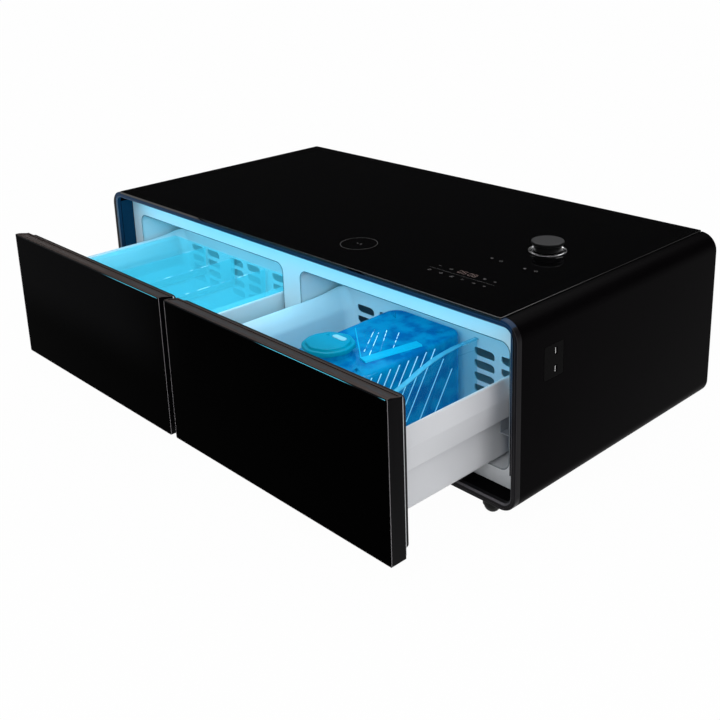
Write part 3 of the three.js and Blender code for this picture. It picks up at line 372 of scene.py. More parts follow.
def frame_ring(depth, inset):
    """One line of the frame's profile, all round the shell, notched under the glass."""
    corner = SHELL_CORNER - inset * (SHELL_CORNER - LINING_CORNER) / SHELL_SHEET
    size = (SHELL_WIDTH - 2 * inset, SHELL_HEIGHT - 2 * inset)
    points = rounded(*size, corner, 0, SHELL_HEIGHT / 2, SHELL_STEPS)
    top = SHELL_HEIGHT - inset
    low = min(top, DECK_TOP)
    notch = [(GLASS_REACH, top), (GLASS_REACH, low), (-GLASS_REACH, low), (-GLASS_REACH, top)]
    return [(x, depth, z) for x, z in points[:HALF_RING] + notch + points[HALF_RING:]]


frame_black = finish("anodised_black_frame", anodised_black)
ring = loft([frame_ring(depth, inset) for depth, inset in FRAME_PROFILE], wrap=True)
add_piece("front_frame_ring", ring, frame_black, "cabinet", ["front_frame"])


# Glass top: a sheet of black back-painted safety glass with polished edges, bonded to the deck.
# It covers the cabinet from front to back between the two side covers.
GLASS_BOTTOM, GLASS_TOP, GLASS_CORNER = 358.5, 364.5, 3
GLASS_WIDTH = 2 * (GLASS_REACH - FIT)
GLASS_EDGE = (
    (GLASS_BOTTOM, 0.5), (GLASS_BOTTOM + 0.5, 0), (GLASS_TOP - 1.0, 0), (GLASS_TOP - 0.3, 0.3),
    (GLASS_TOP, 1.1),
)

top_glass = mottled(
    "black_glass_top", 220, ((4, 4, 5), (7, 7, 8)), (0.03, 0.03), (90, 0.01), specular=0.4,
)
rings = []
for z, inset in GLASS_EDGE:
    size = (GLASS_WIDTH - 2 * inset, SHELL_DEPTH - 2 * inset)
    rings += along_z(rounded(*size, GLASS_CORNER, 0, SHELL_DEPTH / 2, 4), z)
add_piece("glass_top_sheet", loft(rings), top_glass, "cabinet", ["glass_top"], sharp=25)


# Marks on the glass: a ring where a telephone charges without a cable, and the plain symbols of the
# touch panel and of the keys by the knob, all screen-printed in pale grey. The panel's four digits
# glow dimly through the glass.
INK_Z = GLASS_TOP + 0.06
CHARGE_X, CHARGE_Y, CHARGE_RADIUS = 142.7, 113.3, 38.4
PANEL_LINE = ((348.5, 108), (507.3, 110.2))
LOWER_KEYS = ((359.7, 95.5), (389.2, 95.5), (416.6, 95.5), (443.1, 95.5), (470.6, 95.5), (496, 95.5))
UPPER_KEYS = ((359.7, 125), (389.2, 125), (471.7, 125), (496.2, 125))
KNOB_KEYS = ((405.7, 223.3), (430.2, 221.5), (490.5, 219), (515.5, 220.1))
DIGITS = ((408.6, "0"), (419.6, "5"), (433.4, "0"), (444.4, "8"))
DIGIT_Y, DIGIT_WIDTH, DIGIT_HEIGHT, INK_WIDTH = 125, 7, 12, 0.8
SEGMENTS = {"0": "abcdef", "5": "acdfg", "8": "abcdefg"}


def stroke(form, points, width, closed=False):
    """Adds a flat line of that width through the points, on the glass."""
    count = len(points)
    edges = []
    for i, (x, y) in enumerate(points):
        before = points[i - 1] if closed or i else points[i]
        after = points[(i + 1) % count] if closed or i < count - 1 else points[i]
        run = Vector((after[0] - before[0], after[1] - before[1])).normalized() * (width / 2)
        edges.append([form.verts.new((x + s * run.y, y - s * run.x, INK_Z)) for s in (1, -1)])
    for i in range(count if closed else count - 1):
        one, two = edges[i], edges[(i + 1) % count]
        form.faces.new((one[0], two[0], two[1], one[1]))


def arc(x, y, radius, first=0.0, last=360.0, steps=24):
    """Points on part of a circle."""
    turns = [math.radians(first + (last - first) * i / steps) for i in range(steps + 1)]
    return [(x + radius * math.cos(t), y + radius * math.sin(t)) for t in turns]


def ring_mark(form, x, y, radius, width):
    """Adds a printed circle."""
    stroke(form, arc(x, y, radius, steps=max(16, int(radius * 2)))[:-1], width, closed=True)


def key_symbol(form, x, y, kind):
    """One plain symbol, 7 mm across: power, lamp, plus, minus, frost, note, lock, play or bars."""
    if kind in ("power", "lamp"):
        stroke(form, arc(x, y, 3, 125, 415), INK_WIDTH)
        stroke(form, [(x, y + 0.4), (x, y + 4)], INK_WIDTH)
    if kind in ("plus", "frost"):
        stroke(form, [(x, y - 3.2), (x, y + 3.2)], 0.9)
    if kind in ("plus", "minus", "frost"):
        stroke(form, [(x - 3.2, y), (x + 3.2, y)], 0.9)
    if kind == "frost":
        stroke(form, [(x - 2.4, y - 2.4), (x + 2.4, y + 2.4)], 0.7)
        stroke(form, [(x - 2.4, y + 2.4), (x + 2.4, y - 2.4)], 0.7)
    if kind == "note":
        stroke(form, [(x - 1, y - 2.6), (x - 1, y + 3), (x + 2.6, y + 3.4), (x + 2.6, y - 2)], INK_WIDTH)
        ring_mark(form, x - 2, y - 2.6, 1, 1.2)
        ring_mark(form, x + 1.6, y - 2, 1, 1.2)
    if kind == "lock":
        stroke(form, arc(x, y + 0.4, 1.9, 0, 180, 10), INK_WIDTH)
        stroke(form, [(x - 2.6, y - 1.4), (x + 2.6, y - 1.4)], 3.2)
    if kind == "play":
        stroke(form, [(x - 2, y - 2.6), (x + 2.8, y), (x - 2, y + 2.6)], 0.9, closed=True)
    if kind == "bars":
        for step in (-2.2, 0, 2.2):
            stroke(form, [(x + step, y - 2.6), (x + step, y + 1 + step * 0.6)], 1)


def dim_display(start):
    glow = start.noise(2)
    return start.surface(
        base_color=rgb(40, 30, 30),
        roughness=0.4,
        emission_color=glow.blend(rgb(150, 124, 120), rgb(176, 152, 146)),
        emission_strength=0.6,
    )


ink = mottled("pale_screen_print", 0.4, ((104, 102, 104), (126, 124, 126)), (0.1, 0.5), specular=0.1)
display_red = finish("dim_red_display", dim_display)
marks = bmesh.new()
ring_mark(marks, CHARGE_X, CHARGE_Y, CHARGE_RADIUS, 0.6)
stroke(marks, [(CHARGE_X - 6, CHARGE_Y + 1), (CHARGE_X - 3, CHARGE_Y - 1), (CHARGE_X - 1, CHARGE_Y + 1)], 0.9)
stroke(marks, arc(CHARGE_X + 5, CHARGE_Y, 2.4, -70, 160), 0.9)
stroke(marks, list(PANEL_LINE), 0.4)
for places, kinds in (
    (LOWER_KEYS, ("power", "lamp", "note", "play", "bars", "plus")),
    (UPPER_KEYS, ("minus", "bars", "frost", "plus")),
    (KNOB_KEYS, ("frost", "lamp", "lock", "power")),
):
    for (x, y), kind in zip(places, kinds):
        key_symbol(marks, x, y, kind)
add_piece("glass_top_print", marks, ink, "cabinet")

digits = bmesh.new()
for left, digit in DIGITS:
    right, middle = left + DIGIT_WIDTH, DIGIT_Y
    top, bottom = DIGIT_Y + DIGIT_HEIGHT / 2, DIGIT_Y - DIGIT_HEIGHT / 2
    runs = {
        "a": [(left, top), (right, top)], "b": [(right, top - 1), (right, middle + 1)],
        "c": [(right, middle - 1), (right, bottom + 1)], "d": [(left, bottom), (right, bottom)],
        "e": [(left, middle - 1), (left, bottom + 1)], "f": [(left, top - 1), (left, middle + 1)],
        "g": [(left, middle), (right, middle)],
    }
    for segment in SEGMENTS[digit]:
        stroke(digits, runs[segment], INK_WIDTH)
add_piece("display_digits", digits, display_red, "cabinet")


# Knob: a turned aluminium knob with a dark satin cap on a black body, which turns on a shaft through
# the glass. It stands in a thin bright ring that is bonded to the glass.
KNOB = Vector((460, 328, 0))
RING_PROFILE = [
    (0, 0), (38, 0), (38, 2.1), (37.3, 2.8), (36.4, 3.0), (35.2, 2.6), (33.2, 1.5), (30, 1.1), (0, 1.1),
]
KNOB_LIFT, KNOB_FACE = 3.4, (0.4285, 0.4288)
KNOB_PROFILE = [
    (0, 0), (27.2, 0), (28, 0.7), (28, 11), (28.6, 12), (31.4, 12.4), (32.2, 13), (32.5, 13.8),
    (32.5, 17.2), (32.1, 18.3), (31.2, 18.9), (30.4, 19), (0, 19),
]


def turned_rings(profile, segments=96, ripple=0.0, ripples=0):
    """Rings about Z from [radius, height] pairs, waved by ripple if that is given."""
    rings = []
    for radius, height in profile:
        ring = []
        for i in range(segments):
            turn = 2 * math.pi * i / segments
            reach = max(radius, 0.02)
            if ripple and radius > 1:
                reach += ripple * (math.cos(ripples * turn) - 1) / 2
            ring.append((reach * math.cos(turn), reach * math.sin(turn), height))
        rings.append(ring)
    return rings


def turned(profile, segments=96, ripple=0.0, ripples=0):
    """A closed form turned about Z."""
    return loft(turned_rings(profile, segments, ripple, ripples))


def moved(form, shift):
    """The form, moved by shift."""
    bmesh.ops.translate(form, vec=shift, verts=form.verts)
    return form


def knob_metal(start):
    lathe = start.noise(0.6)
    face = start.place("Z").between(*KNOB_FACE)
    return start.surface(
        base_color=face.blend(rgb(18, 18, 19), rgb(52, 52, 54)),
        metallic=0.1,
        roughness=lathe * 0.14 + 0.34,
        specular=0.12,
        normal=start.bump(lathe, 0.02),
    )


def bright_metal(name):
    """Polished metal, brushed a little round the axis."""
    colours = ((168, 168, 170), (196, 196, 198))
    return mottled(name, 0.8, colours, (0.12, 0.16), stretch=(1, 1, 0.2), metallic=1.0)


ring_foot = KNOB + Vector((0, 0, GLASS_TOP + FIT))
add_piece(
    "knob_bright_ring", moved(turned(RING_PROFILE), ring_foot), bright_metal("bright_turned_ring"),
    "cabinet", ["knob_ring"], sharp=50,
)
add_piece(
    "knob_cap_and_body", moved(turned(KNOB_PROFILE), ring_foot + Vector((0, 0, KNOB_LIFT))),
    finish("dark_turned_knob", knob_metal), "control_knob", ["control_knob"], sharp=50,
)


# Socket plate: a black moulded plate let into the right side cover, with two charging sockets that
# stand on end, a white tongue in each, and two small screws.
SOCKET_Y, SOCKETS_Z, SOCKET_WIDTH, SOCKET_HEIGHT, SOCKET_DEPTH = 107.5, (247.7, 281.7), 6.4, 13.6, 10
BLOCK_HALF_Y, BLOCK_HALF_Z = 22, 26.8
TONGUE_FRONT, TONGUE_Y, TONGUE_HALF = 0.8, (-2.2, -0.6), 5.6
SCREWS, SCREW_SEAT = ((83.3, 290.3), (117.8, 239)), 0.72
SCREW_PROFILE = [(0, 0), (1.7, 0), (1.9, 0.2), (1.6, 0.6), (0, 0.7)]


def cut_sheet(outlines, thickness, edge=0.3, round_steps=2):
    """A flat sheet on X and Y about Z = 0: the first outline is its rim and the rest are holes."""
    curve = bpy.data.curves.new("outline", "CURVE")
    curve.dimensions = "2D"
    curve.fill_mode = "BOTH"
    curve.extrude = thickness / 2 - edge
    curve.bevel_depth = edge
    curve.bevel_resolution = round_steps
    curve.offset = -edge
    for outline in outlines:
        spline = curve.splines.new("POLY")
        spline.points.add(len(outline) - 1)
        for point, (x, y) in zip(spline.points, outline):
            point.co = (x, y, 0, 1)
        spline.use_cyclic_u = True
    drawn = bpy.data.objects.new("outline", curve)
    bpy.context.collection.objects.link(drawn)
    bpy.context.view_layer.update()
    mesh = bpy.data.meshes.new_from_object(drawn.evaluated_get(bpy.context.evaluated_depsgraph_get()))
    form = bmesh.new()
    form.from_mesh(mesh)
    bmesh.ops.remove_doubles(form, verts=form.verts, dist=0.01)
    bpy.data.objects.remove(drawn)
    bpy.data.curves.remove(curve)
    bpy.data.meshes.remove(mesh)
    return form


def stood(form, normal, middle):
    """A sheet drawn on X and Y, stood up so that it faces along X or Y, its middle at that place."""
    turn = {
        "x": Matrix(((0, 0, 1, middle), (1, 0, 0, 0), (0, 1, 0, 0), (0, 0, 0, 1))),
        "y": Matrix(((1, 0, 0, 0), (0, 0, -1, middle), (0, 1, 0, 0), (0, 0, 0, 1))),
    }
    bmesh.ops.transform(form, matrix=turn[normal], verts=form.verts)
    return form


socket_black = mottled(
    "moulded_black_socket", 1.2, ((5, 4, 5), (8, 8, 8)), (0.1, 0.22), (1.2, 0.02), specular=0.012,
)
tongue_white = mottled("white_socket_tongue", 1, ((205, 205, 205), (228, 228, 228)), (0, 0.45))
slots = [rounded(SOCKET_WIDTH, SOCKET_HEIGHT, 0.6, SOCKET_Y, z, 2) for z in SOCKETS_Z]
outline = rounded(PLATE_WIDTH, PLATE_HEIGHT, PLATE_CORNER, PLATE_Y, PLATE_Z, 5)
plate = stood(cut_sheet([outline, *slots], PLATE_SHEET, 0.4), "x", OUTSIDE - PLATE_SHEET / 2)
block = box(
    OUTSIDE - SOCKET_DEPTH - 2, OUTSIDE - PLATE_SHEET - 0.05, PLATE_Y - BLOCK_HALF_Y,
    PLATE_Y + BLOCK_HALF_Y, PLATE_Z - BLOCK_HALF_Z, PLATE_Z + BLOCK_HALF_Z,
)
wells = [
    box(
        OUTSIDE - SOCKET_DEPTH, OUTSIDE, SOCKET_Y - SOCKET_WIDTH / 2, SOCKET_Y + SOCKET_WIDTH / 2,
        z - SOCKET_HEIGHT / 2, z + SOCKET_HEIGHT / 2,
    )
    for z in SOCKETS_Z
]
plate = joined(plate, carved(block, *wells))
add_piece("socket_plate_face", plate, socket_black, "cabinet", ["usb_socket_plate"])
tongues = joined(*[
    box(
        OUTSIDE - SOCKET_DEPTH, OUTSIDE - TONGUE_FRONT, SOCKET_Y + TONGUE_Y[0], SOCKET_Y + TONGUE_Y[1],
        z - TONGUE_HALF, z + TONGUE_HALF,
    )
    for z in SOCKETS_Z
])
screws = bmesh.new()
for y, z in SCREWS:
    head = turned(SCREW_PROFILE, 20)
    bmesh.ops.rotate(head, matrix=Matrix.Rotation(math.pi / 2, 3, "Y"), verts=head.verts)
    screws = joined(screws, moved(head, Vector((OUTSIDE - SCREW_SEAT, y, z))))
add_piece("socket_plate_screws", screws, bright_metal("bright_screw_heads"), "cabinet")
add_piece("socket_tongues", tongues, tongue_white, "cabinet", edge=0.2)


# Inside the top and the bottom: a wooden deck that carries the glass, with a charging coil and the
# touch panel's circuit board let into it, and a painted base panel that the casters are screwed to.
def wound_copper(name):
    """Bare copper, as wire or as pipe."""
    return mottled(name, 0.7, ((150, 84, 48), (206, 126, 78)), (0.15, 0.3), metallic=0.9)


def circuit_green(start):
    tracks = start.noise(1.5, detail=0.0).between(0.48, 0.52)
    colour = tracks.blend(rgb(12, 40, 26), rgb(26, 66, 42))
    return start.surface(base_color=colour, roughness=tracks * 0.1 + 0.4)


def dress(node, material):
    """Gives a CAD node that stays in the scene its finish."""
    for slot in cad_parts[node].material_slots:
        slot.material = material
    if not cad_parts[node].material_slots:
        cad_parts[node].data.materials.append(material)


dress("top_deck", mottled(
    "dark_deck_board", 2.5, ((30, 27, 25), (44, 40, 36)), (0.15, 0.7), (2.5, 0.1), stretch=(1, 0.2, 1),
))
dress("charging_coil", wound_copper("wound_copper_coil"))
dress("touch_panel", finish("green_circuit_board", circuit_green))
dress("base_panel", black_paint)


# Back cover: a black steel sheet with three fields of ventilation slots, screwed into the shell. The
# appliance inlet for the power cord is let into its lower corner at the table's left end.
BACK_CENTRE_Y, BACK_SHEET = 640.5, 3
LOUVRE_COLUMNS, LOUVRE_ROWS, LOUVRE_PITCH, LOUVRE_FIRST = (432.5, 180.6, -301.5), 9, 18, 70
LOUVRE_WIDTH, LOUVRE_HEIGHT = 150, 6
INLET_X, INLET_Z, INLET_FLANGE, INLET_MOUTH = -562, 74, (50, 32), (24.5, 16.5)
INLET_FRONT, INLET_FACE, INLET_BACK = 618.3, 642.3, 644.3
PIN_FRONT, PIN_BACK, PIN_PITCH = 623.8, 636.3, 7

black_steel = mottled(
    "black_coated_steel", 60, ((20, 20, 21), (27, 27, 28)), (0.1, 0.42), (1.1, 0.03), metallic=0.3,
    specular=0.3,
)
hollow_width = SHELL_WIDTH - 2 * SHELL_SHEET - 2 * FIT
hollow_height = SHELL_HEIGHT - 2 * SHELL_SHEET - 2 * FIT
hollow = rounded(hollow_width, hollow_height, LINING_CORNER - FIT, 0, SHELL_HEIGHT / 2)
openings = [
    rounded(LOUVRE_WIDTH, LOUVRE_HEIGHT, 2.9, x, LOUVRE_FIRST + row * LOUVRE_PITCH, 4)
    for x in LOUVRE_COLUMNS for row in range(LOUVRE_ROWS)
]
openings.append(rounded(30.6, 24.6, 1, INLET_X, INLET_Z, 3))
back_sheet = stood(cut_sheet([hollow, *openings], BACK_SHEET, 0.4), "y", BACK_CENTRE_Y)
add_piece("back_cover_sheet", back_sheet, black_steel, "cabinet", ["back_cover"])

flange = loft(along_y(rounded(*INLET_FLANGE, 4, INLET_X, INLET_Z, 5), INLET_FACE, INLET_BACK))
body = box(INLET_X - 15, INLET_X + 15, INLET_FRONT, INLET_FACE, INLET_Z - 12, INLET_Z + 12)
mouth = loft(along_y(rounded(*INLET_MOUTH, 2.5, INLET_X, INLET_Z, 4), INLET_FRONT + 6, SHELL_DEPTH))
inlet = carved(joined(flange, body), mouth)
pins = joined(*[
    box(x - 1, x + 1, PIN_FRONT, PIN_BACK, INLET_Z - 2, INLET_Z + 2)
    for x in (INLET_X - PIN_PITCH, INLET_X, INLET_X + PIN_PITCH)
])
add_piece("power_inlet_body", inlet, socket_black, "cabinet", ["power_inlet"], edge=0.4)
zinc = mottled(
    "zinc_plated_steel", 14, ((150, 152, 154), (182, 184, 186)), (0.15, 0.28), (2, 0.01), metallic=0.9,
)
add_piece("power_inlet_pins", pins, zinc, "cabinet", edge=0.3)


# Cold compartments: a white moulded face with two mouths, a deep white liner behind each mouth, and
# foam round them with the evaporator plate behind. The mouths have rounded corners and a rolled lip,
# with a thin line of painted shadow round it, teal high up where the light bar tints it and grey lower
# down. Thin sheets at the recess's sides carry the light bar's painted blue glow, and a black strip
# beside the right mouth paints the shade that falls there.
FACE_FRONT, FACE_SHEET = 45, 3
MOUTH_X, MOUTH_Z, MOUTH_WIDTH, MOUTH_HEIGHT, MOUTH_CORNER = 313.6, 173, 568.2, 250, 20
LINER_FRONT, LINER_BACK, LINER_SHEET = 48.3, 472.3, 3
SHADOW_LINE_REACH, LIP_SHADE = (1.1, -0.4), (0.2, 0.32)
LINING_SHEET, LINING_FRONT, LINING_Z, LINING_SHADE = 0.8, 13, (26, 332), (0.12, 0.24)
STRIP_GAPS, STRIP_PROUD, STRIP_Z = (1.6, 1), (0.24, 0.04), (42, 326)


def shaded_lip(start):
    # Painted shadow along each mouth's edge: teal high up, where the light bar tints it, and grey lower down.
    teal = start.noise(60).blend(rgb(22, 84, 96), rgb(30, 98, 112))
    high = start.place("Z").between(*LIP_SHADE)
    return start.surface(base_color=high.blend(rgb(120, 130, 136), teal), roughness=0.5, specular=0.1)


def painted_bar_glow(start):
    # Painted light: the navy colour and the glow, brighter higher up, stand for the light bar's light on the
    # recess's black side walls; the thin sheets are there only to carry it.
    cloud = start.noise(40)
    high = start.place("Z").between(*LINING_SHADE)
    return start.surface(
        base_color=cloud.blend(rgb(10, 14, 20), rgb(14, 20, 28)),
        roughness=0.35,
        specular=0.04,
        emission_color=high.blend(rgb(8, 12, 18), cloud.blend(rgb(0, 34, 60), rgb(0, 46, 76))),
        emission_strength=0.9,
    )


def mouth_outline(side, grow=0.0):
    """The outline of a mouth, larger all round by grow."""
    size = (MOUTH_WIDTH + 2 * grow, MOUTH_HEIGHT + 2 * grow)
    return rounded(*size, MOUTH_CORNER + grow, side * MOUTH_X, MOUTH_Z, 12)


liner_white = mottled(
    "white_liner_moulding", 120, ((212, 216, 220), (222, 225, 228)), (0.08, 0.28), (1.6, 0.015),
    specular=0.35,
)
face_sheet = cut_sheet([hollow, mouth_outline(-1), mouth_outline(1)], FACE_SHEET, 1.2, 4)
face = stood(face_sheet, "y", FACE_FRONT + FACE_SHEET / 2)
add_piece("compartment_face", face, liner_white, "cabinet", ["liner_face"])
lining_ends = (hollow_width / 2, hollow_width / 2 - LINING_SHEET)
lining = joined(*[
    box(*sorted(side * x for x in lining_ends), LINING_FRONT, FACE_FRONT - 1, *LINING_Z)
    for side, _ in SIDES
])
add_piece("recess_side_glow_sheet", lining, finish("painted_blue_glow_sheet", painted_bar_glow), "cabinet", edge=0.2)
painted_lip_shadow = finish("painted_teal_shadow_line", shaded_lip)
for side, word in SIDES:
    lip = cut_sheet([mouth_outline(side, grow) for grow in SHADOW_LINE_REACH], 0.5, 0.1, 1)
    add_piece(word + "_mouth_shadow_line", stood(lip, "y", FACE_FRONT - 0.2), painted_lip_shadow, "cabinet")
mouth_edge = MOUTH_X + MOUTH_WIDTH / 2
# Painted shade: a black strip over the face's narrow margin right of the right mouth, where the recess lies
# in shade.
strip = box(
    mouth_edge + STRIP_GAPS[0], hollow_width / 2 - STRIP_GAPS[1],
    FACE_FRONT - STRIP_PROUD[0], FACE_FRONT - STRIP_PROUD[1], *STRIP_Z,
)
add_piece("mouth_edge_painted_shade", strip, frame_black, "cabinet")

outer_back = LINER_BACK + LINER_SHEET
liner_profile = (
    (LINER_SHEET - 8, outer_back), (LINER_SHEET - 2, outer_back - 2), (LINER_SHEET, outer_back - 8),
    (LINER_SHEET, LINER_FRONT), (0, LINER_FRONT), (0, LINER_BACK - 10), (-3, LINER_BACK - 3),
    (-10, LINER_BACK),
)
for side, word in SIDES:
    liner = loft([ring for grow, y in liner_profile for ring in along_y(mouth_outline(side, grow), y)])
    add_piece(word + "_compartment_liner", liner, liner_white, "cabinet", [word + "_liner"])

dress("foam_insulation", mottled(
    "cast_foam", 1.8, ((206, 190, 138), (230, 218, 172)), (0.1, 0.85), (1.8, 0.3),
))
dress("evaporator", mottled(
    "rolled_aluminium_plate", 2, ((176, 179, 182), (202, 204, 206)), (0.1, 0.32), stretch=(0.05, 1, 1),
    metallic=0.9,
))


# Light bar: a strip of diodes behind a frosted cyan lens, under the ceiling between the frame and the
# white face. It lights the face and the drawers below.
BAR_HALF, BAR_FRONT, BAR_BACK, BAR_BOTTOM, BAR_TOP, BAR_SLOPE = 597.7, 29.7, 44.7, 336.7, 347.7, 6


def glowing_lens(start):
    dots = start.noise(14, stretch=(1, 0.1, 0.1))
    return start.surface(
        base_color=rgb(60, 150, 180),
        roughness=0.3,
        emission_color=dots.blend(rgb(92, 224, 250), rgb(112, 234, 254)),
        emission_strength=1.0,
    )


lens = [
    (BAR_FRONT, BAR_TOP), (BAR_FRONT, BAR_BOTTOM + BAR_SLOPE), (BAR_FRONT + 2, BAR_BOTTOM + 2.4),
    (BAR_FRONT + BAR_SLOPE, BAR_BOTTOM), (BAR_BACK, BAR_BOTTOM), (BAR_BACK, BAR_TOP),
]
bar = loft(along_x(lens, -BAR_HALF, BAR_HALF))
add_piece(
    "light_bar_lens", bar, finish("glowing_cyan_lens", glowing_lens), "cabinet", ["led_light_bar"],
    edge=0.6,
)


# Slides and cooling unit: steel rails and runners with a pale coating for the drawers, and behind the
# foam a black compressor, a finned condenser, a fan, a copper pipe and a grey control box.
pale_steel = mottled(
    "pale_coated_steel", 2, ((128, 134, 142), (142, 148, 156)), (0.1, 0.4), (2, 0.02),
)
for drawer in ("left_drawer", "right_drawer"):
    for place in ("_rail_left", "_rail_right", "_runner_left", "_runner_right"):
        dress(drawer + place, pale_steel)
dress("compressor", mottled("black_enamel", 5, ((12, 12, 13), (18, 18, 19)), (0.1, 0.3), (5, 0.05)))
dress("condenser", zinc)
dress("fan_shroud", socket_black)
dress("fan_rotor", socket_black)
dress("refrigerant_pipe", wound_copper("drawn_copper"))
dress("control_box", mottled(
    "grey_control_box", 1.4, ((198, 198, 194), (216, 216, 212)), (0.1, 0.5), (1.4, 0.03),
))


# Drawer fronts: black glass in a slim metal frame over a foam core. The frame's top falls to the back
# with a shallow trough for the fingers; a white panel and a soft black seal close it behind. The
# frame's top faces are painted a lighter brown-grey for the light that falls on them, its rounded
# corners carry a painted highlight, the panes are painted a little lighter high up towards the left,
# and the light bar's reflection is painted as a thin broken cyan line along the glass's top edge.
FRONT_WIDTH, FRONT_BOTTOM, FRONT_TOP, FRONT_SHIFT = 615.6, 23, 318, 1.6
FRONT_CORNER, TRIM, GLASS_THICK, CORE_BACK = 3, 1.6, 4, 32.7
LIP, FALL, TROUGH, TROUGH_END, BACK_LIP = 7, 5, 1.4, 4, 4
PANE_EDGE = ((GLASS_THICK, 0), (0.9, 0), (0.25, 0.3), (0, 0.9))
PANEL_FRONT, PANEL_BACK, PANEL_INSET = 33, 37, 3
SEAL_LOW, SEAL_HIGH, SEAL_INSET, SEAL_CORNER = 33, 309.5, 4, 12
SEAL_PROFILE = [
    (0, 37.3), (0, 38.7), (1.6, 40.3), (0.9, 41.9), (1.4, 43.8), (3.4, 44.7),
    (7.6, 44.7), (9.6, 43.8), (10.1, 41.9), (9.4, 40.3), (11, 38.7), (11, 37.3),
]
LEFT_GLINT, RIGHT_GLINT = (-0.23, -0.15, -0.03, 0), (0.29, 0.34, 0.51, 0.55)
CORNER_GLINT = (0.6, 0.62, 0.62, 0.64)
TOP_SHEEN_FACING, CORNER_HIGHLIGHT_FACING = (0.7, 0.97), (0.12, 0.32)
LIT_FROM, LIT_TO = (0.15, 0.27), (-0.2, 0.1)
LEFT_CORNER, RIGHT_CORNER = Vector((-313.6, -461, 42)), Vector((313.6, -459.5, 42))
DRAWERS = (("left_drawer", -1, LEFT_CORNER), ("right_drawer", 1, RIGHT_CORNER))


def front_glass(start):
    haze = start.noise(260)
    lit = start.place("Z").between(*LIT_FROM) * (1 - start.place("X").between(*LIT_TO))
    return start.surface(
        base_color=lit.blend(haze.blend(rgb(0, 0, 0), rgb(1, 1, 1)), rgb(12, 12, 13)),
        roughness=haze * 0.03 + 0.04,
        specular=0.0012,
    )


def dark_trim_metal(start):
    brush = start.noise(2, stretch=(0.04, 1, 1))
    # Painted light: faces turned up or down are a lighter brown-grey, and the rounded upright corners carry a
    # pale painted highlight.
    top = facing(start, "Z").between(*TOP_SHEEN_FACING)
    corner = (facing(start, "X") * facing(start, "Y")).between(*CORNER_HIGHLIGHT_FACING)
    plain = brush.blend(rgb(4, 4, 5), rgb(7, 6, 8))
    lit_top_colour = brush.blend(rgb(66, 58, 56), rgb(80, 71, 68))
    return start.surface(
        base_color=corner.blend(top.blend(plain, lit_top_colour), rgb(176, 172, 176)),
        roughness=brush * 0.12 + 0.3,
        specular=0.03,
    )


def bar_reflection(start):
    along = start.place("X")
    glint = along.band(*LEFT_GLINT) + along.band(*RIGHT_GLINT) + along.band(*CORNER_GLINT)
    return start.surface(
        base_color=rgb(4, 6, 8),
        roughness=0.2,
        specular=0.02,
        emission_color=glint.blend(rgb(6, 10, 14), rgb(84, 196, 224)),
        emission_strength=1.0,
    )


drawer_glass = finish("black_drawer_glass", front_glass)
trim_metal = finish("dark_brushed_trim", dark_trim_metal)
seal_rubber = mottled(
    "soft_black_seal", 3, ((18, 18, 19), (26, 26, 27)), (0.12, 0.6), (3, 0.05), specular=0.2,
)
edge_light = finish("cyan_edge_reflection", bar_reflection)
front_height = FRONT_TOP - FRONT_BOTTOM
front_middle = (FRONT_TOP + FRONT_BOTTOM) / 2
glass_width = FRONT_WIDTH - 2 * TRIM - 2 * FIT
glass_height = front_height - 2 * TRIM - 2 * FIT
low, above = FRONT_TOP - FALL, FRONT_TOP + 9
fall = [(LIP, FRONT_TOP), (CORE_BACK - BACK_LIP, low), (40, low), (40, above), (LIP, above)]
trough = [
    (LIP, FRONT_TOP - TROUGH), (CORE_BACK - BACK_LIP, low - TROUGH), (CORE_BACK - BACK_LIP, above),
    (LIP, above),
]
panel_top, panel_low = low - PANEL_INSET, FRONT_BOTTOM + PANEL_INSET
panel_size = (FRONT_WIDTH - 2 * PANEL_INSET, panel_top - panel_low)
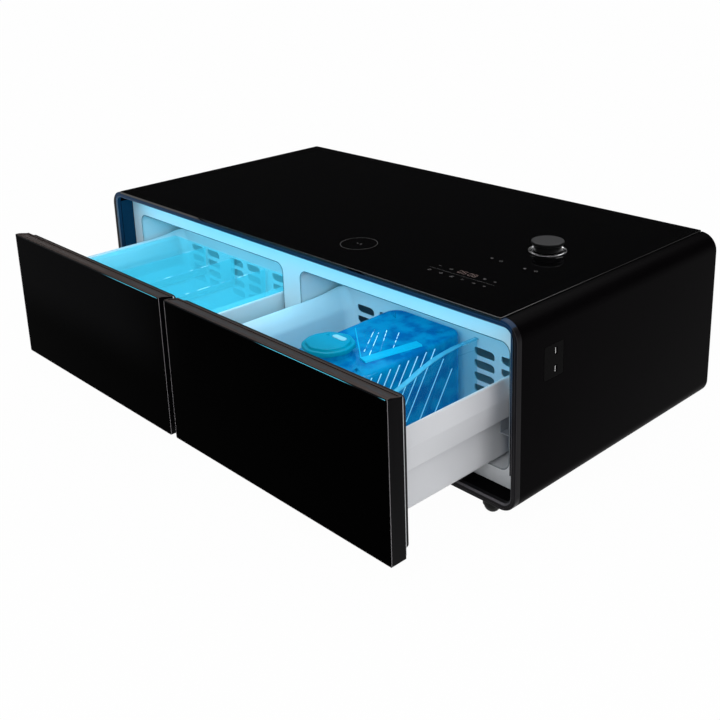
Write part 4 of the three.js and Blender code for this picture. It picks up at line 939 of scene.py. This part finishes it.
for drawer, side, corner in DRAWERS:
    shift = side * FRONT_SHIFT
    far_left, far_right = shift - FRONT_WIDTH / 2, shift + FRONT_WIDTH / 2
    outline = rounded(FRONT_WIDTH, front_height, FRONT_CORNER, shift, front_middle, 5)
    seat = rounded(FRONT_WIDTH - 2 * TRIM, front_height - 2 * TRIM, FRONT_CORNER, shift, front_middle, 5)
    core = carved(
        loft(along_y(outline, FIT, CORE_BACK)),
        loft(along_y(seat, -3, GLASS_THICK + FIT)),
        loft(along_x(fall, far_left - 5, far_right + 5)),
    )
    core = carved(core, loft(along_x(trough, far_left + TROUGH_END, far_right - TROUGH_END)))
    add_piece(
        drawer + "_front_core", core, trim_metal, drawer, [drawer + "_front_frame"],
        edge=0.9, origin=corner,
    )

    rings = []
    for y, inset in PANE_EDGE:
        size = (glass_width - 2 * inset, glass_height - 2 * inset)
        rings += along_y(rounded(*size, FRONT_CORNER, shift, front_middle, 5), y)
    add_piece(
        drawer + "_front_pane", loft(rings), drawer_glass, drawer, [drawer + "_front_glass"],
        origin=corner, sharp=25,
    )

    line_low = front_middle + glass_height / 2 - 0.8
    line_half = glass_width / 2 - FRONT_CORNER
    line = box(shift - line_half, shift + line_half, 0.02, 0.28, line_low, line_low + 1)
    add_piece(drawer + "_edge_line", line, edge_light, drawer, origin=corner)

    panel = rounded(*panel_size, FRONT_CORNER, shift, (panel_top + panel_low) / 2, 5)
    add_piece(
        drawer + "_back_panel", loft(along_y(panel, PANEL_FRONT, PANEL_BACK)), liner_white, drawer,
        [drawer + "_inner_panel"], edge=0.8, origin=corner,
    )

    rings = []
    for inset, y in SEAL_PROFILE:
        size = (FRONT_WIDTH - 2 * SEAL_INSET - 2 * inset, SEAL_HIGH - SEAL_LOW - 2 * inset)
        rings += along_y(rounded(*size, SEAL_CORNER - inset, shift, (SEAL_HIGH + SEAL_LOW) / 2, 6), y)
    add_piece(
        drawer + "_seal", loft(rings, wrap=True), seal_rubber, drawer, [drawer + "_gasket"],
        origin=corner, sharp=60,
    )


# Drawer tubs: deep white injection-moulded bins. Their sides roll outwards to a crest, from which a
# skirt hangs that hides the slides, and the back wall has slanted slots for the cold air. The rim
# rises a little towards the back.
TUB_FRONT, TUB_REAR, TUB_TOP, TUB_BOTTOM, TUB_WALL, TUB_CORNER = 37.3, 424.3, 230, 54, 2.5, 24
RIM_HALF, BIN_HALF = 274.1, 248.1
ROLL = [(28.5, 42), (25.6, 33.5), (23.9, 29.8), (20, 20.2), (15.1, 12.2), (9.1, 5), (5, 1.3)]
CREST = [(2.5, 0), (0.8, 0.8), (0, 3)]
SKIRT_KNEE, SKIRT_FOOT, SKIRT_SLOPE = 186, 143, 10
RIM_SWEEP, SWEEP_FRONT, SWEEP_LOW, SWEEP_BLEND, SWEEP_PARTS = 11, 330, 212, 12, 7
TUB_STEPS = 8
QUARTER = TUB_STEPS + 1
SHADE_Y, SHADE_X, SHADE_Z, SHADE_FACING = (-0.125, -0.09), (0.5, 0.55), (0.24, 0.262), (0.5, 0.9)
VENT_GROUPS, VENT_SHIFT, VENT_PAIR, VENT_GROUP, VENT_ROWS = 3, 6, 67.6, 166.2, (201, 175, 149, 123)
VENT_SLOT = [
    (-25.4, 5), (-25.4, -1), (-23.6, -5), (-19.6, -7.6), (-14, -8.6), (22, -8.6), (24.6, -7.8), (25.4, -5.4),
    (25.4, 1), (23.6, 5), (19.6, 7.6), (14, 8.6), (-22, 8.6), (-24.6, 7.8),
]


def tub_plastic(start):
    """White, with the shadow that the cabinet casts on the right tub's outer side painted in."""
    cloud = start.noise(150)
    across = facing(start, "X").between(*SHADE_FACING) * start.place("X").between(*SHADE_X)
    shade = start.place("Y").between(*SHADE_Y) * across * (1 - start.place("Z").between(*SHADE_Z))
    return start.surface(
        base_color=shade.blend(cloud.blend(rgb(214, 216, 220), rgb(224, 226, 229)), rgb(132, 142, 158)),
        roughness=cloud * 0.08 + 0.3,
        specular=0.35,
        normal=start.bump(start.noise(2.2), 0.015),
    )


tub_white = finish("white_tub_plastic", tub_plastic)
tub_middle = (TUB_FRONT + TUB_REAR) / 2
tub_depth = TUB_REAR - TUB_FRONT
skirt_rear = TUB_REAR - TUB_CORNER
sweep_stations = [SWEEP_FRONT + (skirt_rear - SWEEP_FRONT) * i / SWEEP_PARTS for i in range(SWEEP_PARTS)]


def tub_ring(half, trim, corner, z):
    """One level of the tub: how wide it is on each side, and how far its ends are in from the rim's."""
    points = rounded(2 * half, tub_depth - 2 * trim, corner, 0, tub_middle, TUB_STEPS)
    right = [(half, y) for y in sweep_stations]
    left = [(-half, y) for y in reversed(sweep_stations)]
    outline = points[:QUARTER] + right + points[QUARTER:3 * QUARTER] + left + points[3 * QUARTER:]
    return [(x, y, z) for x, y in outline]


def tub_shell():
    """The bin and its rolled rim: up the outside, over the crest and down the inside."""
    outer, wall, low = TUB_CORNER, TUB_CORNER - TUB_WALL, TUB_BOTTOM
    rings = [
        tub_ring(BIN_HALF - 8, 8, outer - 4, low), tub_ring(BIN_HALF - 2.5, 2.5, outer - 1, low + 2.5),
        tub_ring(BIN_HALF, 0, outer, low + 8), tub_ring(BIN_HALF, 0, outer, TUB_TOP - ROLL[0][1] - 2),
    ]
    rings += [tub_ring(RIM_HALF - inward + 2, 0, outer, TUB_TOP - down - 2) for inward, down in ROLL[1:]]
    rings += [
        tub_ring(RIM_HALF - inward, 0.2 * (inward > 2), outer, TUB_TOP - down) for inward, down in CREST[::-1]
    ]
    rings += [tub_ring(RIM_HALF - 3.6, 1.2, wall, TUB_TOP - 0.1)]
    rings += [tub_ring(RIM_HALF - inward, TUB_WALL, wall, TUB_TOP - down) for inward, down in ROLL[::-1]]
    inside = BIN_HALF - TUB_WALL
    floor = low + TUB_WALL
    rings += [
        tub_ring(inside, TUB_WALL, wall, floor + 9),
        tub_ring(inside - 2.5, TUB_WALL + 2.5, wall - 1, floor + 2.6),
        tub_ring(inside - 9, TUB_WALL + 9, wall - 5, floor),
    ]
    return loft(rings)


def skirt(side):
    """The apron under one side of the rim: straight, then sloping in to a rolled foot."""
    out, back, foot = RIM_HALF, RIM_HALF - TUB_WALL, RIM_HALF - SKIRT_SLOPE
    line = [
        (out - 0.3, TUB_TOP - 2), (out, TUB_TOP - 5), (out, SKIRT_KNEE + 5), (out - 0.5, SKIRT_KNEE + 1.5),
        (out - 1.6, SKIRT_KNEE - 2.5), (foot, SKIRT_FOOT + 1.4), (foot - 0.4, SKIRT_FOOT),
        (foot - TUB_WALL + 0.4, SKIRT_FOOT), (foot - TUB_WALL, SKIRT_FOOT + 1.4),
        (back - 1.6, SKIRT_KNEE - 2.5), (back - 0.5, SKIRT_KNEE + 1.5), (back, SKIRT_KNEE + 5),
        (back, TUB_TOP - 2),
    ]
    section = [(side * x, z) for x, z in line]
    return loft(along_y(section, TUB_FRONT + TUB_CORNER, *sweep_stations, skirt_rear))


def swept(form):
    """Lifts the rim a little towards the back of the tub."""
    for vert in form.verts:
        back = min(max((vert.co.y - SWEEP_FRONT) / (TUB_REAR - TUB_WALL - SWEEP_FRONT), 0), 1)
        vert.co.z += RIM_SWEEP * back * back * min(max((vert.co.z - SWEEP_LOW) / SWEEP_BLEND, 0), 1)
    return form


def vent_tools():
    """Cutters for the slots: four rows of three pairs."""
    pattern = (VENT_GROUPS - 1) * VENT_GROUP + VENT_PAIR
    tools = []
    for z in VENT_ROWS:
        for group in range(VENT_GROUPS):
            for pair in (0, 1):
                x = VENT_SHIFT - pattern / 2 + group * VENT_GROUP + pair * VENT_PAIR
                slot = [(x + px, z + pz) for px, pz in VENT_SLOT]
                tools.append(loft(along_y(slot, TUB_REAR - TUB_WALL - 4, TUB_REAR + 4)))
    return tools


for drawer, _, corner in DRAWERS:
    tub = swept(joined(carved(tub_shell(), *vent_tools()), skirt(-1), skirt(1)))
    add_piece(
        drawer + "_bin", tub, tub_white, drawer, [drawer + "_tub"], origin=corner, sharp=45,
    )


# Clear tray: a shallow injection-moulded tray of tinted clear plastic that hangs on the left tub's
# rim, with four long channels for small things. Its cyan is partly its own tint and partly the light
# bar's light, painted in as a glow, and broken white glints are painted along the ridges.
TRAY_HALF, TRAY_FLANGE, TRAY_FRONT, TRAY_BACK = 242.6, 264.9, 61.3, 400.3
TRAY_FLOOR, TRAY_RIM, TRAY_LIP, TRAY_WALL, TRAY_CHANNELS = 154.3, 225.3, 2, 2.4, 4
CHANNEL_PROFILE = (
    (6.5, 3, TRAY_FLOOR), (3.4, 5, TRAY_FLOOR + 1), (2.2, 6, TRAY_FLOOR + 5), (0.1, 7, TRAY_RIM),
    (1.2, 6, TRAY_RIM), (3.4, 5, TRAY_FLOOR + 6), (7, 3, TRAY_FLOOR + 2),
)
GLINT_HALF, GLINT_ENDS, GLINT_Z = 0.5, (TRAY_FRONT + 10, TRAY_BACK - 50), (0.05, 0.3)


def clear_plastic(start):
    edge = start.node("ShaderNodeLayerWeight", sockets={"Blend": 0.35}, out="Facing")
    swirl = start.noise(60)
    # Painted light: the emission is the light bar's cyan glow on the tray.
    body = start.surface(
        base_color=rgb(130, 220, 236),
        roughness=swirl * 0.06 + 0.06,
        emission_color=rgb(96, 214, 242),
        emission_strength=0.5,
    )
    return start.seen_through(rgb(236, 252, 253), edge * 0.26 + 0.08, body)


def broken_glint(start):
    shine = start.surface(
        base_color=rgb(220, 246, 252), roughness=0.1, emission_color=rgb(190, 240, 252),
        emission_strength=0.7,
    )
    dashes = start.noise(26, detail=1.0).between(0.5, 0.58)
    return start.seen_through(rgb(200, 240, 250), dashes * 0.7 + 0.05, shine)


clear = finish("tinted_clear_plastic", clear_plastic)
pitch = (2 * TRAY_HALF - TRAY_WALL) / TRAY_CHANNELS
tray_centres = [-TRAY_HALF + TRAY_WALL / 2 + pitch * (i + 0.5) for i in range(TRAY_CHANNELS)]
tray_middle, tray_length = (TRAY_FRONT + TRAY_BACK) / 2, TRAY_BACK - TRAY_FRONT


def tray_channel(x):
    """One channel: a thin-walled trough, wider at its mouth than at its floor."""
    rings = []
    for gap, corner, z in CHANNEL_PROFILE:
        rings += along_z(rounded(pitch - 2 * gap, tray_length - 2 * gap, corner, x, tray_middle, 5), z)
    return loft(rings)


mouth_cuts = [rounded(pitch - 2.4, tray_length - 2.4, 6, x, tray_middle, 5) for x in tray_centres]
flange = cut_sheet([rounded(2 * TRAY_FLANGE, tray_length, 6, 0, tray_middle, 5), *mouth_cuts], TRAY_LIP, 0.6)
flange = moved(flange, Vector((0, 0, TRAY_RIM + TRAY_LIP / 2)))
tray = joined(flange, *[tray_channel(x) for x in tray_centres])
add_piece("clear_tray", tray, clear, "left_drawer", ["left_drawer_tray"], origin=LEFT_CORNER)
glint_low, glint_high = [TRAY_RIM + TRAY_LIP + z for z in GLINT_Z]
glints = bmesh.new()
for number in range(1, TRAY_CHANNELS):
    x = -TRAY_HALF + TRAY_WALL / 2 + pitch * number
    glints = joined(glints, box(x - GLINT_HALF, x + GLINT_HALF, *GLINT_ENDS, glint_low, glint_high))
white_glint = finish("broken_white_glint", broken_glint)
add_piece("tray_ridge_glints", glints, white_glint, "left_drawer", origin=LEFT_CORNER)


# Divider: a clear bowed sheet that stands a little askew along the right tub and holds the jug in
# place. A broad bead along its top stiffens it, and a scored line runs under the bead. Its cyan colour
# and faint glow are painted light from the light bar.
DIVIDER_PATH = (
    (187, 40.1), (176, 103), (164.7, 165), (153.5, 202), (139.5, 244.5), (128.2, 285), (120.8, 324),
    (117.5, 358.5), (117.4, 390), (119, 421.5),
)
DIVIDER_FOOT, DIVIDER_TOP, DIVIDER_SHEET = 56.8, 229.5, 3
BEAD_Z, BEAD_Y = (0.2682, 0.2698), (-0.14, -0.04)
SCORE_PROUD, SCORE_Z, SCORE_DROP = 0.5, (-9, -7.8), 16
BEAD = [
    (-5.5, -2.2), (-5.2, -0.8), (-4, -0.1), (0, 0), (4, -0.1), (5.2, -0.8), (5.5, -2.2), (5, -3), (-5, -3),
]


def bead_plastic(start):
    # Painted light: the cyan colour and faint glow stand for the light bar's light on the clear sheet.
    glow = start.noise(30, stretch=(1, 0.3, 1))
    body = start.surface(
        base_color=glow.blend(rgb(84, 180, 208), rgb(116, 200, 224)),
        roughness=glow * 0.1 + 0.1,
        specular=0.2,
        emission_color=rgb(60, 170, 205),
        emission_strength=0.08,
    )
    # The bead shows the cyan body more than the sheet does, and less of it towards the back.
    share = start.place("Z").between(*BEAD_Z) * (0.62 - start.place("Y").between(*BEAD_Y) * 0.3) + 0.04
    return start.seen_through(rgb(236, 250, 253), share, body)


def divider_rings(section, drop=0.0):
    """The section at each point of the divider's path, sinking by drop towards the back."""
    rings = []
    for i, (x, y) in enumerate(DIVIDER_PATH):
        before, after = DIVIDER_PATH[max(i - 1, 0)], DIVIDER_PATH[min(i + 1, len(DIVIDER_PATH) - 1)]
        run = Vector((after[0] - before[0], after[1] - before[1])).normalized()
        low = drop * i / (len(DIVIDER_PATH) - 1)
        rings.append([(x + a * run.y, y - a * run.x, z - low) for a, z in section])
    return rings


half = DIVIDER_SHEET / 2
below_bead = DIVIDER_TOP + BEAD[-1][1] + 0.1
sheet_section = [(-half, DIVIDER_FOOT), (half, DIVIDER_FOOT), (half, below_bead), (-half, below_bead)]
bead_section = [(a, DIVIDER_TOP + z) for a, z in BEAD]
low, high = [DIVIDER_TOP + z for z in SCORE_Z]
score = [(half, low), (half + SCORE_PROUD, low), (half + SCORE_PROUD, high), (half, high)]
divider = joined(
    loft(divider_rings(sheet_section)), loft(divider_rings(bead_section)),
    loft(divider_rings(score, SCORE_DROP)),
)
add_piece(
    "clear_divider", divider, finish("clear_divider_plastic", bead_plastic), "right_drawer",
    ["right_drawer_divider"], origin=RIGHT_CORNER,
)


# Drinks jug: a low blow-moulded tank of translucent blue plastic that lies in the right tub. It has
# slanting ribs on its sides, a ridge with an arm and a few thin raised lines on its rising top, and a
# wide neck. The tank and its ridge carry a painted glow of the light bar's cyan light, and the ribs and
# the thin lines carry painted pale highlights, broken along the lines.
JUG_X, JUG_Y, JUG_WIDTH, JUG_LENGTH, JUG_CORNER, JUG_FOOT, JUG_TOP = -3, 273.7, 190, 288.6, 30, 56.8, 229.5
NECK = Vector((-40, 183.8, 0))
NECK_TOP = 239.5
NECK_PROFILE = [(45, -3), (45, 9.2), (44.2, 10), (42.8, 10), (42, 9.2), (42, -3)]
TANK_PROFILE = (
    (7, JUG_FOOT), (2, JUG_FOOT + 2), (0, JUG_FOOT + 7), (0, JUG_TOP - 7), (0.8, JUG_TOP - 3.6),
    (2.4, JUG_TOP - 1.4), (4.8, JUG_TOP - 0.4), (8, JUG_TOP), (60, JUG_TOP),
)
RIDGE_RUN, RIDGE_HALF, RIDGE_HEIGHT = ((37, 199), (66, 318)), 12, 3
ARM_RUN = ((30, 202), (-82, 290))
DASH_RUNS = (((10, 228), (-47, 309)), ((30, 222), (-30, 304)), ((38, 241), (-26, 322)), ((45, 268), (0, 330)))
JUG_RISE, RISE_FRONT, RISE_BACK = 6.5, 190, 405
RIB_COUNT, RIB_FIRST, RIB_PITCH, RIB_LEAN, RIB_DROP, RIB_PROUD = 10, 168.5, 23.4, 0.68, 118, 1.4
RIB_START, RIB_FALL_FROM, RIB_FALL, RIB_BELOW_TOP, RIB_ABOVE_FOOT, RIB_THICK = 156, 331, 1.2, 5.5, 10, 2
RIB_SUNK, CORNER_SHARE, LINE_SLOPE = 0.2, 0.7, 0.8


def blue_tank(start):
    edge = start.node("ShaderNodeLayerWeight", sockets={"Blend": 0.4}, out="Facing")
    clouds = start.noise(38, detail=4.0).between(0.34, 0.62)
    # Painted light: the emission is the light bar's cyan glow on the tank.
    body = start.surface(
        base_color=clouds.blend(rgb(0, 92, 146), rgb(4, 132, 172)),
        roughness=clouds * 0.08 + 0.1,
        specular=0.2,
        emission_color=clouds.blend(rgb(0, 96, 152), rgb(0, 134, 182)),
        emission_strength=0.4,
    )
    return start.seen_through(rgb(110, 214, 242), edge * 0.25 + 0.6, body)


def pale_rib(start):
    # Painted highlight: the ribs glow pale, as light catches them.
    shine = start.noise(12)
    return start.surface(
        base_color=rgb(170, 225, 242),
        roughness=0.2,
        emission_color=shine.blend(rgb(120, 205, 240), rgb(190, 240, 252)),
        emission_strength=0.35,
    )


def risen(form):
    """Lifts the top of a form on the jug a little towards the back."""
    for vert in form.verts:
        share = (vert.co.y - RISE_FRONT) / (RISE_BACK - RISE_FRONT)
        above = (vert.co.z - JUG_FOOT) / (JUG_TOP - JUG_FOOT)
        vert.co.z += JUG_RISE * min(max(share, 0), 1) * min(above, 1)
    return form


def top_line(run, half, low, high, steps=8):
    """A raised strip with sloped sides along a straight run on the jug's top."""
    first, last = Vector(run[0]), Vector(run[1])
    way = (last - first).normalized()
    section = [(-half, low), (half, low), (half * LINE_SLOPE, high), (-half * LINE_SLOPE, high)]
    rings = []
    for i in range(steps + 1):
        spot = first.lerp(last, i / steps)
        rings.append([(spot.x + way.y * a, spot.y - way.x * a, JUG_TOP + z) for a, z in section])
    return loft(rings)


def add_to_jug(name, form, material, nodes=(), body="right_drawer", edge=0.0, sharp=50):
    """A piece of the jug, or of its lid where body says so."""
    add_piece(name, form, material, body, nodes, edge, RIGHT_CORNER, sharp)


rings = []
for inset, z in TANK_PROFILE:
    size = (JUG_WIDTH - 2 * inset, JUG_LENGTH - 2 * inset)
    rings += along_z(rounded(*size, JUG_CORNER - inset * CORNER_SHARE, JUG_X, JUG_Y, 8), z)
neck = moved(turned(NECK_PROFILE, 64), NECK + Vector((0, 0, JUG_TOP)))
add_to_jug(
    "water_jug_tank", joined(risen(loft(rings)), neck), finish("translucent_blue_tank", blue_tank),
    ["water_jug"],
)
ridge = joined(top_line(RIDGE_RUN, RIDGE_HALF, 0.1, RIDGE_HEIGHT), top_line(ARM_RUN, 1.3, 0.1, 1.0))
# The ridge's emission is a painted glow of the light bar's light.
ridge_blue = mottled(
    "blue_ridge_painted_glow", 3, ((6, 140, 172), (14, 160, 190)), (0.1, 0.2), specular=0.15,
    emission_color=rgb(8, 150, 190), emission_strength=0.35,
)
add_to_jug("water_jug_ridge", risen(ridge), ridge_blue)
# The thin lines carry broken painted glints.
dashes = joined(*[top_line(run, 0.6, 0.15, 0.6) for run in DASH_RUNS])
add_to_jug("water_jug_top_lines", risen(dashes), finish("broken_painted_glint_line", broken_glint))

ribs = bmesh.new()
for side, _ in SIDES:
    face_x = JUG_X + side * JUG_WIDTH / 2
    for i in range(RIB_COUNT):
        y = RIB_FIRST + i * RIB_PITCH
        top = JUG_TOP - RIB_BELOW_TOP - max(0, y - RIB_FALL_FROM) * RIB_FALL
        drop = min(RIB_DROP, (y - RIB_START) / RIB_LEAN, top - JUG_FOOT - RIB_ABOVE_FOOT)
        foot_y = y - drop * RIB_LEAN
        outline = [(y, top), (foot_y, top - drop), (foot_y + RIB_THICK, top - drop), (y + RIB_THICK, top)]
        reach = sorted((face_x - side * RIB_SUNK, face_x + side * (RIB_PROUD - RIB_SUNK)))
        loft(along_x(outline, *reach), form=ribs)
add_to_jug("water_jug_ribs", risen(ribs), finish("pale_lit_rib", pale_rib), edge=0.4, sharp=38)


# Jug lid: a round screw lid of the same blue plastic, a little scalloped for grip, with a raised disc
# and a small pale oval on top that stands in for the highlight there. The lid's faint glow is painted
# light from the light bar.
LID_PROFILE = [
    (0, 0), (49, 0), (50.4, 0.6), (51, 2), (51, 7), (50.4, 8.4), (49, 9), (44.4, 9), (43.6, 9.4),
    (43, 10.4), (42.6, 12.2), (41.6, 12.9), (40, 13), (0, 13),
]
LID_RIPPLE, LID_RIPPLES = 1.6, 8
OVAL_X, OVAL_Y, OVAL_SEAT = 6, 23, 13.05
OVAL_RINGS = ((34, 13, 6.4, 0), (33, 12, 5.9, 1))

lid_seat = NECK + Vector((0, 0, NECK_TOP + FIT))
# The lid's emission is a painted glow of the light bar's light.
lid_blue = mottled(
    "blue_lid_plastic", 30, ((0, 116, 138), (0, 134, 156)), (0.08, 0.25), specular=0.06,
    emission_color=rgb(0, 110, 138), emission_strength=0.3,
)
lid = moved(turned(LID_PROFILE, 96, LID_RIPPLE, LID_RIPPLES), lid_seat)
add_to_jug("jug_screw_lid", lid, lid_blue, ["jug_lid"], body="jug_lid")
# Painted highlight: the small pale oval stands in for the highlight on the lid's top.
highlight_oval_paint = mottled("pale_painted_highlight_oval", 4, ((150, 176, 184), (172, 196, 202)), (0, 0.4), specular=0.2)
rings = []
for length, width, corner, z in OVAL_RINGS:
    rings += along_z(rounded(length, width, corner, OVAL_X, OVAL_Y, 6), z)
oval_mark = moved(loft(rings), lid_seat + Vector((0, 0, OVAL_SEAT)))
add_to_jug("jug_lid_pale_oval", oval_mark, highlight_oval_paint, body="jug_lid", sharp=38)


# Casters: a zinc plate, a black round hood that swivels under it and a crowned black wheel, four in
# all, screwed to the base panel near its corners.
CASTERS = (
    ("front_left", -565, 52), ("front_right", 565, 52), ("back_left", -565, 594), ("back_right", 565, 594),
)
CASTER_FOOT, WHEEL_RADIUS, TRAIL = -42, 17, 12
WHEEL_HALF_PROFILE = [(3.3, 12), (8, 12), (11.2, 11.6), (13, 10.4), (14.8, 8.2), (16.2, 5.2), (16.9, 2)]
HOOD_PROFILE = [
    (17.6, 17), (18.6, 17), (18.5, 21), (17.2, 26), (14.4, 30.4), (10.4, 33.8), (7, 35.6), (7, 38.6),
    (0, 38.6), (0, 35), (6, 34), (10, 31.8), (13.6, 28.4), (16.4, 24), (17.5, 19.6),
]

tyre = mottled(
    "black_caster_tyre", 6, ((10, 10, 10), (16, 16, 16)), (0.15, 0.45), (6, 0.04), specular=0.15,
)
wheel_profile = [(radius, -out) for radius, out in WHEEL_HALF_PROFILE] + WHEEL_HALF_PROFILE[::-1]
for name, x, y in CASTERS:
    under = Vector((x, y - TRAIL, CASTER_FOOT))
    wheel = turned(wheel_profile, 64)
    bmesh.ops.rotate(wheel, matrix=Matrix.Rotation(math.pi / 2, 3, "Y"), verts=wheel.verts)
    wheel = moved(wheel, under + Vector((0, 0, WHEEL_RADIUS)))
    body = "caster_wheel_" + name
    add_piece("wheel_" + name, wheel, tyre, body, [body], sharp=40)
    hood = moved(loft(turned_rings(HOOD_PROFILE, 48), wrap=True), under)
    body = "caster_fork_" + name
    add_piece("caster_hood_" + name, hood, tyre, body, [body], sharp=50)
    dress("caster_plate_" + name, zinc)


# Studio: a white floor that keeps a faint shadow, even light from all round with a soft key and a side
# lamp, cyan lamps where the light bar shines, and black flags with one window that only reflections see.
FLOOR_RADIUS, FLOOR_SHEET, FLOOR_GLOW, ROUND_STEPS, ROUND_END = 14, 0.02, 0.98, 47, 352.5
SKY_LEVEL, SKY_SEEN = 0.6, 0.4
WINDOW_HEIGHT, WINDOW_BACK, WINDOW_GLOW, FLAG_GLOW = (0.62, 0.68, 0.8, 0.88), (0.1, 0.3), 5.0, 0.01
DOME_RADIUS, DOME_FOOT, DOME_RISE, DOME_STEPS = 6, 7, 82, 12
WHITE, GLOW = (1, 1, 1), (0.05, 0.68, 1.0)
LAMPS = (
    ("soft_key", (1.6, -2.6, 2.6), (0, 0, 0.2), (2.0, 2.0), 26, WHITE),
    ("side_fill", (3.4, -0.9, 1.0), (0.6, -0.3, 0.2), (1.6, 1.2), 16, (1.0, 0.97, 0.98)),
    ("bar_wide_glow", (0, -0.245, 0.400), (0, -0.20, 0.10), (1.16, 0.05), 1.02, GLOW),
    ("bar_near_glow", (0, -0.168, 0.380), (0, -0.12, 0.30), (1.19, 0.02), 0.11, GLOW),
    ("ceiling_glow", (-0.3136, -0.085, 0.332), (-0.3136, -0.06, 0.1), (0.5, 0.07), 0.12, GLOW),
    ("ceiling_glow", (0.3136, -0.085, 0.332), (0.3136, -0.06, 0.1), (0.5, 0.07), 0.12, GLOW),
)


def outside_rays(start):
    """1 for rays from the camera and for mirrored or refracted ones."""
    path = start.node("ShaderNodeLightPath")
    kinds = ("Is Camera Ray", "Is Glossy Ray", "Is Transmission Ray")
    camera_ray, glossy_ray, refracted_ray = [path.output(kind) for kind in kinds]
    return start.math("MINIMUM", camera_ray + glossy_ray + refracted_ray, 1.0)


def white_floor(start):
    card = start.node("ShaderNodeBsdfDiffuse", sockets={"Color": rgb(240, 240, 240)})
    bright = start.node("ShaderNodeEmission", sockets={"Color": (1, 1, 1, 1), "Strength": 1.0})
    share = outside_rays(start) * FLOOR_GLOW
    return start.node("ShaderNodeMixShader", sockets={0: share, 1: card, 2: bright})


def dark_flag(start):
    """Black cloth with one long soft window towards the back."""
    along = start.node("ShaderNodeVectorMath", {"operation": "NORMALIZE"}, {0: start.place()})
    way = start.node("ShaderNodeSeparateXYZ", sockets={"Vector": along})
    window = way.output("Z").band(*WINDOW_HEIGHT) * way.output("Y").between(*WINDOW_BACK)
    strength = window * WINDOW_GLOW + FLAG_GLOW
    return start.node("ShaderNodeEmission", sockets={"Color": (1, 1, 1, 1), "Strength": strength})


def studio_piece(name, form, material):
    """An object of the studio, which isn't part of the table."""
    mesh = bpy.data.meshes.new(name)
    form.to_mesh(mesh)
    form.free()
    mesh.materials.append(material)
    piece = bpy.data.objects.new(name, mesh)
    bpy.context.collection.objects.link(piece)
    return piece


def add_lamp(name, place, aim, size, watts, colour):
    """A soft rectangular lamp in metres, aimed at a point."""
    light = bpy.data.lights.new(name, "AREA")
    light.shape = "RECTANGLE"
    light.size, light.size_y = size
    light.energy = watts
    light.color = colour
    lamp = bpy.data.objects.new(name, light)
    lamp.location = place
    lamp.rotation_euler = (Vector(aim) - Vector(place)).to_track_quat("-Z", "Y").to_euler()
    lamp.visible_camera = False
    lamp.visible_glossy = False
    bpy.context.collection.objects.link(lamp)


floor = loft(along_z(arc(0, 0, FLOOR_RADIUS, 0, ROUND_END, ROUND_STEPS), -FLOOR_SHEET, 0))
floor_object = studio_piece("studio_floor", floor, finish("white_studio_floor", white_floor))
floor_object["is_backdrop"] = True

world = bpy.data.worlds.new("white_studio")
world.use_nodes = True
world.node_tree.nodes.clear()
sky = Wire(world.node_tree)
level = outside_rays(sky) * SKY_SEEN + SKY_LEVEL
air = sky.node("ShaderNodeBackground", sockets={"Color": (1, 1, 1, 1), "Strength": level})
sky.node("ShaderNodeOutputWorld", sockets={"Surface": air})
bpy.context.scene.world = world

rings = []
for i in range(DOME_STEPS + 1):
    lift = math.radians(DOME_FOOT + DOME_RISE * i / DOME_STEPS)
    circle = arc(0, 0, DOME_RADIUS * math.cos(lift), 0, ROUND_END, ROUND_STEPS)
    rings += along_z(circle, DOME_RADIUS * math.sin(lift))
dome = loft(rings)
dome.faces.ensure_lookup_table()
bmesh.ops.delete(dome, geom=[dome.faces[-2]], context="FACES_ONLY")
flags = studio_piece("dark_flags", dome, finish("black_flag_cloth", dark_flag))
for kind in ("camera", "diffuse", "transmission", "volume_scatter", "shadow"):
    setattr(flags, "visible_" + kind, False)
flags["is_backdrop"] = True

for lamp in LAMPS:
    add_lamp(*lamp)


# Camera: at the photograph's viewing angle, a little above the table and off its right front corner.
# Its small shift keeps most of the photograph's framing and leaves room for the other views.
CAMERA_PLACE = Vector((1.64884, -1.43139, 1.07297))
CAMERA_LIFT, CAMERA_TURN, CAMERA_ROLL = [math.radians(degrees) for degrees in (17.096, 46.906, -1.753)]
CAMERA_LENS, CAMERA_SENSOR, CAMERA_SHIFT, CAMERA_REACH = 51.965, 36, (-0.022, -0.190), 60
lens_data = bpy.data.cameras.new("camera")
lens_data.lens = CAMERA_LENS
lens_data.sensor_width = CAMERA_SENSOR
lens_data.shift_x, lens_data.shift_y = CAMERA_SHIFT
lens_data.clip_end = CAMERA_REACH
camera = bpy.data.objects.new("camera", lens_data)
level_right = Vector((math.cos(CAMERA_TURN), math.sin(CAMERA_TURN), 0))
level_back = Vector((math.sin(CAMERA_TURN), -math.cos(CAMERA_TURN), 0))
away = level_back * math.cos(CAMERA_LIFT) + Vector((0, 0, math.sin(CAMERA_LIFT)))
level_up = away.cross(level_right)
right_axis = math.cos(CAMERA_ROLL) * level_right + math.sin(CAMERA_ROLL) * level_up
up_axis = math.cos(CAMERA_ROLL) * level_up - math.sin(CAMERA_ROLL) * level_right
camera.matrix_world = Matrix((
    (right_axis.x, up_axis.x, away.x, CAMERA_PLACE.x),
    (right_axis.y, up_axis.y, away.y, CAMERA_PLACE.y),
    (right_axis.z, up_axis.z, away.z, CAMERA_PLACE.z),
    (0, 0, 0, 1),
))
bpy.context.collection.objects.link(camera)
bpy.context.scene.camera = camera
bpy.context.scene.view_settings.view_transform = "Standard"

low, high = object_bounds()
